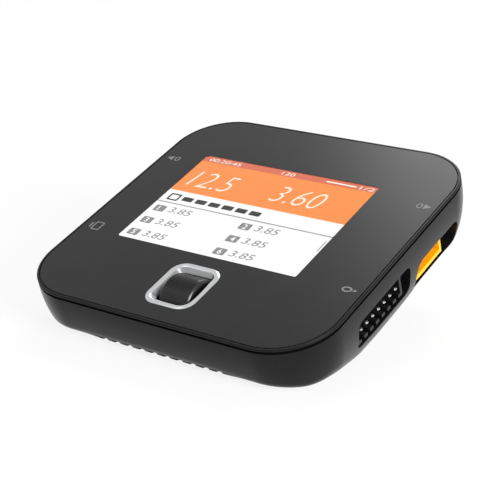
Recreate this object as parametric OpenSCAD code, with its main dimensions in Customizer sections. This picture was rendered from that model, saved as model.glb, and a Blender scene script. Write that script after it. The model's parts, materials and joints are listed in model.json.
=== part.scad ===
// Balance charger for model batteries: a wedge-shaped desk unit with a sloping screen, a thumb wheel
// that turns and presses, shrouded power sockets left and right, a balance header and a rear fan.
// Most pieces are drawn in the panel frame: x to the right, y up the slope, z out of the face panel.

/* [Body] */
// Width of the top edge, left to right
body_w = 78.6; // [77:0.1:98]
// Length of the top edge, along the slope
body_l = 78.6; // [77:0.1:98]
// Height of the top edge at the front
front_h = 10.6; // [10.4:0.1:13]
// Slope of the face panel, low at the front
tilt = 17.8; // [16:0.1:20]
// Corner radius of the top edge
corner_r = 14; // [13:0.1:17]
// Radius of the side wall's upper part, seen in section
bulge_r = 28; // [26:0.5:34]
// How far the side wall leans out below the lip
wall_lean = 4; // [2:0.5:6]
// Lean of the side wall where it starts to turn under
knee_start = 22; // [20:0.5:25]
// Radius of the turn
knee_r = 9; // [8:0.5:11]
// Lean of the underside beyond the turn
knee_end = 48; // [45:0.5:50]
// Thickness of the side wall
wall_t = 2; // [1.6:0.1:2.4]
// Thickness of the floor
floor_t = 2; // [1.6:0.1:2.4]
// Rounding of the floor's front and rear edges
base_round = 2; // [1.5:0.1:4]
// How much the corners are drawn in near the floor
corner_trim = 1.5; // [1:0.1:3]

/* [Feet] */
// Radius of a rubber foot
foot_r = 4; // [3:0.1:4.5]
// Height of the feet below the floor
foot_gap = 0.7; // [0.5:0.1:1.5]
// Depth of a foot's recess in the floor
foot_recess = 0.5; // [0.3:0.1:0.8]

/* [Top cover] */
// Thickness of the face panel
panel_t = 0.5; // [0.4:0.05:0.6]
// Width of the rim round the face panel
rim_w = 0.6; // [0.5:0.05:1]
// How far the rim stands above the face panel
rim_proud = 0; // [0:0.05:0.2]
// Depth of the rim's lower edge below the face panel
rim_h = 0.5; // [0.4:0.05:0.8]
// Height of the shadow groove between cover and shell
groove_h = 0.65; // [0.4:0.05:0.9]
// Depth of the shadow groove
groove_depth = 0.8; // [0.5:0.1:1.2]
// Depth of the cover's skirt inside the shell
skirt_h = 2.45; // [2:0.05:3]

/* [Screen] */
// Width of the screen's window
screen_w = 49.3; // [44:0.1:52]
// Length of the screen's window along the slope
screen_l = 37; // [32:0.1:38]
// Offset of the screen to the left of the middle
screen_left = 2.6; // [1:0.1:3]
// Distance from the front edge to the middle of the screen
screen_y = 42.6; // [42.3:0.1:44.3]
// Width of the display module
module_w = 60.3; // [58:0.1:61]
// Length of the display module along the slope
module_l = 42.7; // [41:0.1:43]
// Thickness of the display module's glass
glass_t = 2.1; // [1.8:0.1:2.3]
// Thickness of the display module's frame
frame_t = 2.2; // [1.8:0.1:2.4]

/* [Thumb wheel] */
// Radius of the wheel
wheel_r = 6.1; // [5.6:0.1:7.4]
// Width of the wheel
wheel_w = 8.2; // [7:0.1:9]
// How far the wheel stands out of the panel
wheel_proud = 1.5; // [1:0.1:2]
// Distance from the front edge to the rear of the wheel
wheel_rear = 19; // [18.4:0.1:19.2]
// Offset of the wheel to the right of the middle
wheel_x = 0.4; // [0:0.1:2]
// Number of ribs round the wheel
wheel_ribs = 84; // [60:1:96]
// Travel of the wheel when it is pressed
press_travel = 0.3; // [0.2:0.05:0.4]
// Radius of the wheel's axle
axle_r = 1; // [0.8:0.1:1.2]
// Width of the chrome ring round the wheel
bezel_t = 1.4; // [1.2:0.1:1.6]
// Gap between the wheel's side and the chrome ring
bezel_side = 0.5; // [0.4:0.1:1]

/* [Power sockets] */
// Width of a socket's shroud
socket_w = 16.2; // [15:0.1:17]
// Height of a socket's shroud
socket_h = 8.1; // [7.5:0.1:8.5]
// Radius of a contact pin
pin_r = 1.75; // [1.5:0.05:1.8]
// Distance between the two contact pins
pin_pitch = 7.2; // [6.8:0.1:7.6]
// Distance from the front edge to the middle of the sockets
socket_y = 54.1; // [53.4:0.1:55.2]
// Depth of the sockets' middle below the panel
socket_drop = 11.3; // [11:0.1:11.6]

/* [Balance header] */
// Number of pins
balance_count = 7; // [5:1:7]
// Pitch of the pins
balance_pitch = 2.5; // [2.3:0.01:2.54]
// Distance from the front edge to the middle of the row
balance_y = 30.1; // [29.4:0.1:31.2]
// Depth of the pin row below the panel
balance_drop = 8.55; // [8.3:0.05:8.6]

/* [Fan] */
// Side of the square fan
fan_s = 20; // [18:0.5:20]
// Thickness of the fan
fan_t = 8; // [7:0.5:8]
// Number of fan blades
fan_blades = 7; // [5:1:9]

/* [Hidden] */
$fn = 64;
// Longer than anything here, for cuts that go right through
far = 120;
// How far a cut reaches past the face that it opens
past = 1;
// Clearance of a running fit on the radius, and of a loose one
fit = 0.05;
slack = 0.15;

// Where the panel frame stands on the table, with the origin under the middle of the whole object
front_edge = -body_l / 2;
lip_z = -(rim_h + groove_h);
panel_z = front_h + body_l / 2 * sin(tilt);
// The wall's section, drawn outwards from the corners' axis: an upper arc, the turn and a straight run
arc_u = corner_r - bulge_r * cos(wall_lean);
arc_z = lip_z - bulge_r * sin(wall_lean);
knee_u = arc_u + (bulge_r - knee_r) * cos(knee_start);
knee_z = arc_z - (bulge_r - knee_r) * sin(knee_start);
knee_top = knee_z - knee_r * sin(knee_start);
knee_low = knee_z - knee_r * sin(knee_end);
run_h = 25;
band_lap = 0.5;
// Half width of the body at depth z
function upper_u(z) = arc_u + sqrt(pow(bulge_r, 2) - pow(z - arc_z, 2));
function turn_u(z) = knee_u + sqrt(pow(knee_r, 2) - pow(z - knee_z, 2));
function lower_u(z) = knee_u + knee_r * cos(knee_end) - (knee_low - z) * tan(knee_end);
function wall_u(z) = z > knee_top ? upper_u(z) : z > knee_low ? turn_u(z) : lower_u(z);
function side_x(z) = body_w / 2 - corner_r + wall_u(z);
// Distance forward or back, and height above the table, of a point y from the middle at depth z.
// Side is 1 at the front and -1 at the rear.
function on_side(side, y, z) = [
    y * cos(tilt) + side * z * sin(tilt), panel_z - side * y * sin(tilt) + z * cos(tilt)
];
function arc_at(r, mid, h) = [mid.x + sqrt(pow(r, 2) - pow(mid.y - h, 2)), asin((mid.y - h) / r)];
// How far the front or rear wall reaches at height h above the table, and its lean there
function wall_at(side, h, inset) =
    let (
        arc = on_side(side, body_l / 2 - corner_r + arc_u, arc_z),
        knee = on_side(side, body_l / 2 - corner_r + knee_u, knee_z),
        r = knee_r - inset,
        end = knee_end + side * tilt,
        run = knee.y - h - r * sin(end)
    )
    arc.y - h < (bulge_r - inset) * sin(knee_start + side * tilt) ? arc_at(bulge_r - inset, arc, h)
    : run < 0 ? arc_at(r, knee, h)
    : [knee.x + r * cos(end) - run * tan(end), end];
rim_edge = 0.2;
foremost = front_edge * cos(tilt) - (rim_proud - rim_edge) * sin(tilt);
// The rear wall stands upright where it leans in by the panel's slope
upright_z = knee_start > tilt ? arc_z - bulge_r * sin(tilt) : knee_z - knee_r * sin(tilt);
rearmost = on_side(-1, body_l / 2 - corner_r + wall_u(upright_z), upright_z).x;
shift_y = -(foremost + rearmost) / 2;
floor_top = foot_gap + floor_t;
floor_mid = foot_gap + floor_t / 2;
// Where the walls meet the floor's underside at the front and the rear, and how they lean there
front_foot_edge = wall_at(1, foot_gap, 0);
rear_foot_edge = wall_at(-1, foot_gap, 0);
floor_front = -front_foot_edge.x;
floor_rear = rear_foot_edge.x;

// Depth in the panel frame, at slope position y, of the level plane that lies h above the table
function level_z(y, h) = (h - panel_z - y * sin(tilt)) / cos(tilt);

// Ball that draws in the lower corners: it leaves them at one depth and trims them at the other
ball_start = -6;
ball_end = -10;
corner_x = body_w / 2 - corner_r;
corner_y = body_l / 2 - corner_r;
corner_reach = sqrt(pow(corner_x, 2) + pow(corner_y, 2)) - corner_x;
reach_start = corner_reach + side_x(ball_start);
reach_end = corner_reach + side_x(ball_end) - corner_trim;
ball_square = pow(reach_start, 2) - pow(reach_end, 2) + pow(ball_start, 2) - pow(ball_end, 2);
ball_z = ball_square / (2 * (ball_start - ball_end));
ball_r = sqrt(pow(reach_start, 2) + pow(ball_start - ball_z, 2));

// Cover and display stack
groove_slope = 0.35;
plate_t = 1.7;
plate_bottom = -panel_t - plate_t;
skirt_bottom = lip_z - skirt_h;
skirt_t = 1.2;
cover_gap = 0.45;
cover_inset = wall_t + cover_gap;
panel_gap = 0.25;
panel_inset = rim_w + panel_gap;
window_gap = 0.08;
module_y = front_edge + screen_y;
module_r = 1;
window_r = 0.6;
glass_r = 0.8;
glass_gap = 0.25;
glass_side = 1.4;
glass_end = 0.85;
glass_w = module_w - 2 * glass_side;
glass_l = module_l - 2 * glass_end;
glass_bottom = -panel_t - glass_t;
frame_bottom = glass_bottom - frame_t;
frame_border = 3;
frame_pocket = 0.4;
hook_inset = 21;
hook_x = body_w / 2 - hook_inset;
hook_y = body_l / 2 - cover_inset - skirt_t;
hook_w = 6;
hook_h = 0.9;
hook_reach = 0.8;

// Thumb wheel, its chrome ring and its carrier
axis_y = front_edge + wheel_rear - wheel_r;
axis_z = wheel_proud - wheel_r;
rib_depth = 0.2;
wheel_edge = 1;
wheel_hub_r = 1.9;
wheel_gap = 0.25;
pocket_gap = 0.2;
pocket_side = 0.6;
flange_t = 0.6;
flange_w = 0.6;
flange_bottom = plate_bottom - flange_t;
bezel_r = 3.3;
bezel_proud = 0.25;
bezel_w = wheel_w + 2 * (bezel_side + bezel_t);
wheel_chord = 2 * sqrt(pow(wheel_r, 2) - pow(axis_z - flange_bottom, 2));
bezel_l = wheel_chord + 2 * (wheel_gap + bezel_t);
hub_side = 0.4;
hub_w = wheel_w + 2 * hub_side;
cheek_gap = 0.1;
cheek_t = 1.2;
cheek_x = hub_w / 2 + cheek_gap;
cheek_front = axis_y - 2.6;
cheek_clear = 0.25;
cheek_top = flange_bottom - cheek_clear;
bar_gap = 0.5;
bar_t = 1.2;
bar_y = axis_y + wheel_r + bar_gap;
bar_rear = bar_y + bar_t;
wing_top = -4.45;
wing_t = 1.2;
wing_l = 4.2;
wing_end = 2.6;
wing_bottom = wing_top - wing_t;
switch_s = 4.5;
switch_gap = 0.2;
switch_x = cheek_x + cheek_t + switch_gap + switch_s / 2;
guide_r = 1.7;
guide_gap = 0.3;
guide_x = switch_x + switch_s / 2 + guide_gap + guide_r;
guide_y = bar_rear - wing_l / 2;
collar_r = 2.4;
guide_bore = 4;
encoder_t = 3.3;
encoder_half = 3;
encoder_play = 0.3;

// Key board under the wheel, with the push switch
key_top = -8.2;
key_t = 1;
key_bottom = key_top - key_t;
key_side = 3.5;
key_front = axis_y - 1;
key_rear = guide_y + 4.3;
key_slot = 0.6;
key_clear = 0.8;
encoder_clear = 0.6;
switch_h = 1.8;
switch_r = 0.4;
plunger_r = 1;
plunger_l = 1.7;
plunger_gap = 0.1;
plunger_room = 0.2;
key_plug_half = 6;
key_plug_t = 1.8;
key_plug_inset = 0.1;

// Screws that hold the boards
screw_r = 0.9;
screw_head_r = 1.8;
screw_head_h = 1.1;
screw_drive_r = 0.8;
screw_drive_depth = 0.6;
key_screw_l = 4.5;

// Case screws, which stand in the shell and grip the cover
case_x = body_w / 2 - 13.3;
case_y = front_edge + 17.3;
case_r = 2.8;
case_web = 0.6;
case_lap = 2;
case_seat = level_z(case_y, floor_top) + case_web;
case_split = case_seat + case_lap;
case_shank = 1;
case_bore_r = 2.3;
case_head_r = 2;
case_head_h = 1.4;
case_drive_r = 0.9;
case_drive_depth = 0.8;
case_grip = 2.5;
case_room = 0.5;

// Fan, upright on the floor in front of the rear grille
fan_wall_gap = 0.6;
fan_z = floor_top + fit + fan_s / 2;
fan_rear = wall_at(-1, floor_top, wall_t).x - fan_wall_gap;
fan_front = fan_rear - fan_t;
fan_mid = fan_rear - fan_t / 2;
fan_corner_r = 1.5;
duct_edge = 0.7;
duct_r = fan_s / 2 - duct_edge;
rotor_r = 4.4;
rotor_wall = 0.7;
rotor_front = 0.5 - fan_t / 2;
rotor_rear = fan_t / 2 - 1.4;
rotor_bore = -0.6;
blade_tip_gap = 0.4;
blade_chord = 5.8;
blade_sheet = 0.7;
blade_pitch_angle = 38;
fan_shaft_r = 0.6;
bearing_r = 1.5;
strut_w = 1.2;
strut_t = 1;
strut_count = 3;
strut_turn = 30;
strut_disc_r = rotor_r + 0.2;
fan_hole_r = 1;
fan_hole_inset = 2;
coil_r = 2.3;
coil_arm = 3.3;
coil_arm_half = 0.8;
coil_gap = 0.2;
coil_count = 4;
rail_t = 1.5;
rail_lip = 1.5;
rail_ahead = 2;

// Main board, as far forward as the sloping floor and the case screws let it go, and back to the fan
board_t = 1.6;
board_top = -11.5;
board_bottom = board_top - board_t;
board_edge = 5.8;
board_half = body_w / 2 - board_edge;
board_clear = 0.8;
board_gap = 0.5;
floor_limit = (floor_top + board_clear - panel_z - board_bottom * cos(tilt)) / sin(tilt);
board_front = max(floor_limit, case_y + case_r + board_gap);
fan_bay_side = 2;
fan_bay_half = fan_s / 2 + fan_bay_side;
board_rear = (fan_front + board_bottom * sin(tilt)) / cos(tilt) - board_gap;
neck_inset = 20;
neck_half = body_w / 2 - neck_inset;
tab_reach = 2.4;
tab_rear = front_edge + socket_y + pin_pitch / 2 + tab_reach;
post_r = 2.6;
post_inset = 13.5;
post_front = 3.5;
post_neck = 3.4;
board_bite = 2.4;
bite_room = 0.2;
screw_spots = [
    [-board_half + post_inset, board_front + post_front],
    [board_half - post_inset, board_front + post_front],
    [-neck_half + post_neck, front_edge + socket_y], [neck_half - post_neck, front_edge + socket_y]
];

// Display ribbon and its connector on the main board
flex_w = 14;
flex_t = 0.15;
flex_bend = 2;
flex_offset = 9.4;
flex_mid = module_y - flex_offset;
flex_under = frame_bottom - fit;
wrap_drop = 0.2;
wrap_r = (glass_bottom - wrap_drop - flex_under) / 2;
wrap_x = module_w / 2 + fit;
flex_drop_x = 10;
flex_lift = 1.2;
flex_plug_z = board_top + flex_lift;
connector_x = 4;
connector_half = 2;
connector_h = 2;
connector_end = 1.5;

// Parts on the main board: places are [x, y] from the middle of the front edge. The heat sink below
// the board ends before the fan's rails and the rear screw posts.
chip_spot = [-12, 31.3];
chip_s = 10;
chip_t = 1.2;
chip_r = 0.3;
inductor_spot = [7.2, 48.2];
inductor_s = 12.4;
inductor_h = 4.2;
inductor_r = 1.5;
inductor_cap_r = 5;
inductor_cap_h = 0.4;
capacitor_xs = [-28, -21];
capacitor_ys = [35.3, 41.9];
capacitor_r = 3.1;
capacitor_h = 5.6;
capacitor_base = 6.5;
capacitor_base_h = 0.8;
buzzer_spot = [17.8, 37.3];
buzzer_r = 4.5;
buzzer_h = 4;
buzzer_hole_r = 0.8;
buzzer_hole_depth = 1.5;
resistor_l = 3.2;
resistor_w = 1.7;
resistor_t = 0.6;
resistor_gap = 5;
transistor_xs = [-9.6, -3.2, 3.2, 9.6];
transistor_w = 5;
transistor_l = 6;
transistor_t = 1;
pad_w = 28;
pad_l = 10;
pad_t = 0.5;
sink_half = 16.5;
sink_top = board_bottom - transistor_t - pad_t;
sink_base_t = 1.6;
sink_clear = 0.6;
sink_low = floor_top + sink_clear;
sink_l = 19;
sink_rear = min(
    (fan_front - rail_ahead) * cos(tilt) + (sink_low - panel_z) * sin(tilt), front_edge + socket_y - post_r
) - board_gap;
sink_front = sink_rear - sink_l;
sink_mid = (sink_front + sink_rear) / 2;
fin_count = 11;
fin_t = 1.2;
fin_pitch = (2 * sink_half - fin_t) / (fin_count - 1);

// Power sockets and their contact pins
socket_wall = 0.9;
socket_depth = 8.5;
socket_body_l = 16;
socket_inset = 3.3;
socket_neck = 0.4;
socket_cut = 0.6;
socket_rim = body_w / 2 - socket_inset;
socket_floor = socket_rim - socket_depth;
socket_rear = socket_rim - socket_body_l;
socket_z = -socket_drop;
socket_mid = front_edge + socket_y;
shoulder_w = 0.35;
shoulder_r = pin_r + shoulder_w;
pin_tip = 0.5;
pin_end = socket_rim - 1.5;
pin_tail = 0.4;
blade_l = 5;
blade_half = 1.4;
blade_t = 0.8;
blade_lap = 0.5;
port_w = 20.1;
port_h = 9.2;
port_top = -7.5;
port_r = 3;
port_ahead = 0.4;
port_depth = 9;

// Balance header
header_h = 5.75;
header_end = 2.25;
header_inset = 1.45;
header_l = 7.5;
header_wall = 0.75;
header_back = 1.5;
header_w = balance_pitch * (balance_count - 1) + 2 * header_end;
header_mid = front_edge + balance_y;
header_face = body_w / 2 - header_inset;
header_rear = header_face - header_l;
header_z = -balance_drop;
header_low = header_z - header_h / 2;
header_pin = 0.64;
header_tail = header_rear - 1.2;
header_tip = header_face + 0.1;
pin_bevel_l = 0.35;
pin_bevel = 0.16;
comb_depth = 3;
comb_half = 0.6;
balance_port_room = 3;
balance_port_w = header_w + balance_port_room;
balance_port_h = 7.2;
balance_port_top = -5;
balance_port_ahead = 0.6;
balance_port_r = 1.8;

// Small USB socket
usb_mid = front_edge + 25.7;
usb_w = 7.5;
usb_h = 2.6;
usb_l = 5.6;
usb_cut = 0.9;
usb_wall = 0.3;
usb_inset = 1.7;
usb_face = body_w / 2 - usb_inset;
usb_gap = 0.5;
usb_port_r = 1.2;
tongue_w = 3.6;
tongue_t = 0.6;
tongue_lift = 1.2;
tongue_inset = 0.6;

// Vents and feet
vent_count = 10;
vent_pitch = 3.45;
vent_w = 2.1;
vent_rise = 1;
vent_l = 9;
vent_ahead = 3;
grille_count = 7;
grille_pitch = 2.7;
grille_w = 1.6;
foot_edge = 0.3;
front_foot = [body_w / 2 - 12.3, -25.5];
rear_foot = [body_w / 2 - 22.3, 20.5];

// Placing
module on_panel() translate([0, shift_y, panel_z]) rotate([tilt, 0, 0]) children();
module on_table() translate([0, shift_y, 0]) children();
module at_wheel() translate([wheel_x, axis_y, axis_z]) rotate([0, 90, 0]) children();
module at_fan() on_table() translate([0, fan_mid, fan_z]) rotate([-90, 0, 0]) children();
module both_sides() {
    children();
    mirror([1, 0, 0]) children();
}
module at_feet() {
    both_sides() for (p = [front_foot, rear_foot]) translate([p.x, p.y, 0]) children();
}
module at_case_screws() both_sides() translate([case_x, case_y, 0]) children();
module at_guides() for (side = [-1, 1]) translate([wheel_x + side * guide_x, guide_y, 0]) children();
module at_display() on_panel() translate([0, module_y, 0]) children();
module on_board(spot) on_panel() translate([spot.x, front_edge + spot.y, board_top]) children();

// Flat outlines
module rounded_rect(w, l, r) {
    square([w - 2 * r, l], center = true);
    square([w, l - 2 * r], center = true);
    for (x = [-1, 1], y = [-1, 1]) translate([x * (w / 2 - r), y * (l / 2 - r)]) circle(r);
}
module slab(w, l, r, low, high) translate([0, 0, low]) linear_extrude(high - low) rounded_rect(w, l, r);
module block(x0, x1, y0, y1, z0, z1) translate([x0, y0, z0]) cube([x1 - x0, y1 - y0, z1 - z0]);
module rod(r, z0, z1) translate([0, 0, z0]) cylinder(r = r, h = z1 - z0);
module hex_drive(r, z0, z1) translate([0, 0, z0]) cylinder(r = r, h = z1 - z0, $fn = 6);

// A body whose edge section runs round a rectangle with round corners. The section is drawn outwards
// from the corners' axis, and reaches far past it to the inside.
module two_sided(reach) {
    intersection() {
        translate([reach, 0]) children();
        mirror([1, 0]) translate([reach, 0]) children();
    }
}
module swept_body(w, l, r) {
    half_w = w / 2 - r;
    half_l = l / 2 - r;
    difference() {
        intersection() {
            rotate([90, 0, 0]) linear_extrude(2 * far, center = true) two_sided(half_w) children();
            rotate([90, 0, 90]) linear_extrude(2 * far, center = true) two_sided(half_l) children();
        }
        for (x = [-1, 1], y = [-1, 1])
            translate([x * (half_w + far / 2), y * (half_l + far / 2), 0])
                cube([far, far, 2 * far], center = true);
    }
    for (turn = [0:3]) {
        x = turn == 0 || turn == 3 ? half_w : -half_w;
        y = turn < 2 ? half_l : -half_l;
        translate([x, y, 0]) rotate([0, 0, 90 * turn]) rotate_extrude(angle = 90) intersection() {
            children();
            translate([0, -far]) square([far, 2 * far]);
        }
    }
}

// Section of the wall up to the given height, taken in from the outside by inset: the upper arc, the
// turn and the straight run, one below the other
module arc_band(mid, r, low, high) {
    intersection() {
        union() {
            translate(mid) circle(r);
            translate([-far, mid.y - r]) square([far + mid.x, 2 * r]);
        }
        translate([-far, low]) square([2 * far, high - low]);
    }
}
module wall_section(inset, top) {
    r = knee_r - inset;
    turn_high = knee_z - r * sin(knee_start);
    turn_low = knee_z - r * sin(knee_end);
    turn_end = knee_u + r * cos(knee_end);
    arc_band([arc_u, arc_z], bulge_r - inset, turn_high, top);
    arc_band([knee_u, knee_z], r, turn_low - band_lap, turn_high + band_lap);
    polygon([
        [turn_end, turn_low], [-far, turn_low],
        [-far, turn_low - run_h], [turn_end - run_h * tan(knee_end), turn_low - run_h]
    ]);
}
module bowl(inset, top) {
    on_panel() intersection() {
        swept_body(body_w, body_l, corner_r) wall_section(inset, top);
        translate([0, 0, ball_z]) sphere(ball_r - inset);
    }
}

// Everything above the floor's underside, with its front and rear edges rounded
module above_floor() {
    front_round = floor_front + base_round * tan((90 - front_foot_edge.y) / 2);
    rear_round = floor_rear - base_round * tan((90 - rear_foot_edge.y) / 2);
    top = foot_gap + base_round * (1 - sin(front_foot_edge.y));
    on_table() rotate([90, 0, 90]) linear_extrude(2 * far, center = true) {
        translate([front_round, foot_gap]) square([rear_round - front_round, far]);
        translate([-far, top]) square([2 * far, far]);
        for (y = [front_round, rear_round]) translate([y, foot_gap + base_round]) circle(base_round);
    }
}

// Openings in the side walls, drawn in the panel frame as seen from the right
module side_port(mid, top, w, h, r) {
    translate([body_w / 2 - port_depth, mid, top - h / 2]) rotate([90, 0, 90])
        linear_extrude(far) rounded_rect(w, h, r);
}
module socket_port() {
    port_mid = socket_mid - socket_w / 2 - port_ahead + port_w / 2;
    side_port(port_mid, port_top, port_w, port_h, port_r);
}
module balance_port() {
    port_mid = header_mid - header_w / 2 - balance_port_ahead + balance_port_w / 2;
    side_port(port_mid, balance_port_top, balance_port_w, balance_port_h, balance_port_r);
}
module usb_port() {
    side_port(usb_mid, board_top + usb_h + usb_gap, usb_w + 2 * usb_gap, usb_h + 2 * usb_gap, usb_port_r);
}

// Slots under the front edge, open from the rounding to the inside
module front_vents() {
    rear = floor_front + vent_l;
    for (i = [0:vent_count - 1]) {
        x = (i - (vent_count - 1) / 2) * vent_pitch;
        block(x - vent_w / 2, x + vent_w / 2, floor_front - vent_ahead, rear, 0, foot_gap + vent_rise);
        block(x - vent_w / 2, x + vent_w / 2, floor_front + vent_ahead, rear, 0, floor_top + past);
    }
}
// Upright slots in front of the fan's duct, longest in the middle
module rear_grille() {
    for (i = [0:grille_count - 1]) {
        x = (i - (grille_count - 1) / 2) * grille_pitch;
        half = sqrt(pow(duct_r, 2) - pow(x, 2)) - grille_w / 2;
        translate([x, fan_rear, fan_z]) rotate([-90, 0, 0]) linear_extrude(far) {
            square([grille_w, 2 * half], center = true);
            for (end = [-half, half]) translate([0, end]) circle(grille_w / 2);
        }
    }
}
// Rails that hold the fan upright on the floor
module fan_rails() {
    side = fan_s / 2 + slack;
    front = fan_front - rail_ahead;
    both_sides() {
        block(side, side + rail_t, front, fan_rear + fan_wall_gap, floor_mid, fan_z);
        block(side - rail_lip, side + rail_t, front, fan_front - slack, floor_mid, fan_z);
    }
}
module shell_posts() {
    for (p = screw_spots) translate([p.x, p.y, 0]) rod(post_r, level_z(p.y, floor_mid), board_bottom);
    at_case_screws() rod(case_r, level_z(case_y, floor_mid), case_split);
}
// Hooks on the cover's skirt, which catch in the shell's rear wall
module rear_hooks(grow) {
    both_sides() block(
        hook_x - hook_w / 2 - grow, hook_x + hook_w / 2 + grow,
        hook_y, body_l / 2 - wall_t + hook_reach + grow,
        skirt_bottom - grow, skirt_bottom + hook_h + grow
    );
}

module bottom_shell() {
    color("#3c3c3c") difference() {
        intersection() {
            bowl(0, lip_z);
            above_floor();
        }
        difference() {
            intersection() {
                bowl(wall_t, lip_z + past);
                on_table() block(-far, far, -far, far, floor_top, far);
            }
            on_panel() shell_posts();
            on_table() fan_rails();
        }
        on_panel() {
            socket_port();
            balance_port();
            mirror([1, 0, 0]) {
                socket_port();
                usb_port();
            }
            rear_hooks(slack);
            for (p = screw_spots) translate([p.x, p.y, 0])
                rod(screw_r, board_bottom - board_bite - bite_room, board_bottom + past);
            at_case_screws() {
                rod(case_shank + slack, case_seat - past, case_split + past);
                rod(case_bore_r, level_z(case_y, -past), case_seat);
            }
            at_wheel() rod(
                wheel_r + press_travel + pocket_gap, -wheel_w / 2 - pocket_side, wheel_w / 2 + pocket_side
            );
        }
        on_table() {
            front_vents();
            rear_grille();
            at_feet() rod(foot_r + slack, -past, foot_gap + foot_recess);
        }
    }
}
module rubber_feet() {
    color("#1c1c1c") on_table() at_feet() {
        rod(foot_r, foot_edge, foot_gap + foot_recess);
        cylinder(r1 = foot_r - foot_edge, r2 = foot_r, h = foot_edge);
    }
}
module case_screws() {
    low = case_seat - case_head_h;
    color("#8a8a8a") on_panel() at_case_screws() {
        rod(case_shank, case_seat - case_head_h / 2, plate_bottom - case_grip);
        difference() {
            rod(case_head_r, low, case_seat);
            hex_drive(case_drive_r, low - past, low + case_drive_depth);
        }
    }
}

// Cover frame with its narrow rim, the plate under the face panel and the skirt inside the shell
module rim_section() {
    foot = corner_r - groove_depth;
    polygon([
        [-far, rim_proud], [corner_r - rim_edge, rim_proud], [corner_r, rim_proud - rim_edge],
        [corner_r, -rim_h], [foot, -rim_h - groove_slope], [foot, lip_z], [-far, lip_z]
    ]);
}
module ring_cut(low) {
    translate([wheel_x, axis_y, 0])
        slab(bezel_w + 2 * fit, bezel_l + 2 * fit, bezel_r + fit, low, past);
}
module top_cover() {
    skirt_w = body_w - 2 * cover_inset;
    skirt_l = body_l - 2 * cover_inset;
    skirt_r = corner_r - cover_inset;
    color("#424242") on_panel() difference() {
        union() {
            swept_body(body_w, body_l, corner_r) rim_section();
            difference() {
                slab(skirt_w, skirt_l, skirt_r, skirt_bottom, lip_z);
                slab(
                    skirt_w - 2 * skirt_t, skirt_l - 2 * skirt_t, skirt_r - skirt_t,
                    skirt_bottom - past, plate_bottom
                );
            }
            rear_hooks(0);
            at_case_screws() rod(case_r, case_split + fit, plate_bottom);
            at_guides() {
                rod(collar_r, wing_top + fit, plate_bottom);
                rod(guide_r, key_top, plate_bottom);
            }
        }
        slab(body_w - 2 * rim_w, body_l - 2 * rim_w, corner_r - rim_w, -panel_t, past);
        translate([0, module_y, 0])
            slab(glass_w + 2 * glass_gap, glass_l + 2 * glass_gap, module_r, plate_bottom - past, past);
        ring_cut(plate_bottom - past);
        translate([wheel_x, axis_y, 0]) slab(
            bezel_w + 2 * (flange_w + slack), bezel_l + 2 * (flange_w + slack), bezel_r + flange_w + slack,
            skirt_bottom - past, plate_bottom
        );
        at_case_screws() rod(case_shank + fit, case_split - past, plate_bottom - case_grip + case_room);
        at_guides() rod(screw_r, key_top - past, key_top + guide_bore);
    }
}
module face_panel() {
    color("#3f3f3f") on_panel() difference() {
        slab(body_w - 2 * panel_inset, body_l - 2 * panel_inset, corner_r - panel_inset, -panel_t, 0);
        translate([-screen_left, module_y, 0]) slab(screen_w, screen_l, window_r, -far, past);
        ring_cut(-far);
    }
}

// Display, from the window down
module screen_window() {
    color("#f4f4f4", 0.4) on_panel() translate([-screen_left, module_y, 0]) slab(
        screen_w - 2 * window_gap, screen_l - 2 * window_gap, window_r - window_gap, fit - panel_t, 0
    );
}
module lcd_panel() {
    color("#ff9242") at_display() slab(glass_w, glass_l, glass_r, glass_bottom, -panel_t);
}
module screen_gasket() {
    color("#202020") at_display() difference() {
        slab(module_w, module_l, module_r, glass_bottom, plate_bottom);
        slab(glass_w + 2 * glass_gap, glass_l + 2 * glass_gap, module_r, -far, far);
    }
}
module lcd_frame() {
    color("#c9cacc") at_display() difference() {
        slab(module_w, module_l, module_r, frame_bottom, glass_bottom);
        slab(
            module_w - 2 * frame_border, module_l - 2 * frame_border, module_r,
            frame_bottom - past, frame_bottom + frame_pocket
        );
    }
}
// A strip's bend through a quarter turn, centred on its own middle, in the quadrant that turn picks
module quarter_bend(r, t, turn) {
    rotate(90 * turn) intersection() {
        difference() {
            circle(r + t);
            circle(r);
        }
        square(far);
    }
}
// Ribbon that wraps round the display's right end and drops to its connector on the main board
module lcd_flex() {
    bend = flex_bend - flex_t;
    upper_x = flex_drop_x + flex_bend;
    upper_z = flex_under - flex_bend;
    lower_x = flex_drop_x + flex_t - flex_bend;
    lower_z = flex_plug_z + flex_bend;
    color("#c97a2b") on_panel() translate([0, flex_mid + flex_w / 2, 0]) rotate([90, 0, 0])
        linear_extrude(flex_w) {
            translate([wrap_x, flex_under + wrap_r]) {
                quarter_bend(wrap_r, flex_t, 0);
                quarter_bend(wrap_r, flex_t, 3);
            }
            translate([upper_x, flex_under - flex_t]) square([wrap_x - upper_x, flex_t]);
            translate([upper_x, upper_z]) quarter_bend(bend, flex_t, 1);
            translate([flex_drop_x, lower_z]) square([flex_t, upper_z - lower_z]);
            translate([lower_x, lower_z]) quarter_bend(bend, flex_t, 3);
            translate([connector_x, flex_plug_z]) square([lower_x - connector_x, flex_t]);
        }
}
module flex_connector() {
    half = flex_w / 2;
    color("#e8e2d0") on_panel() translate([connector_x, flex_mid, board_top]) difference() {
        block(
            -connector_half, connector_half, -half - connector_end, half + connector_end, 0, connector_h
        );
        block(-fit, far, -half - fit, half + fit, flex_lift - fit, flex_lift + flex_t + fit);
    }
}

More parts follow.
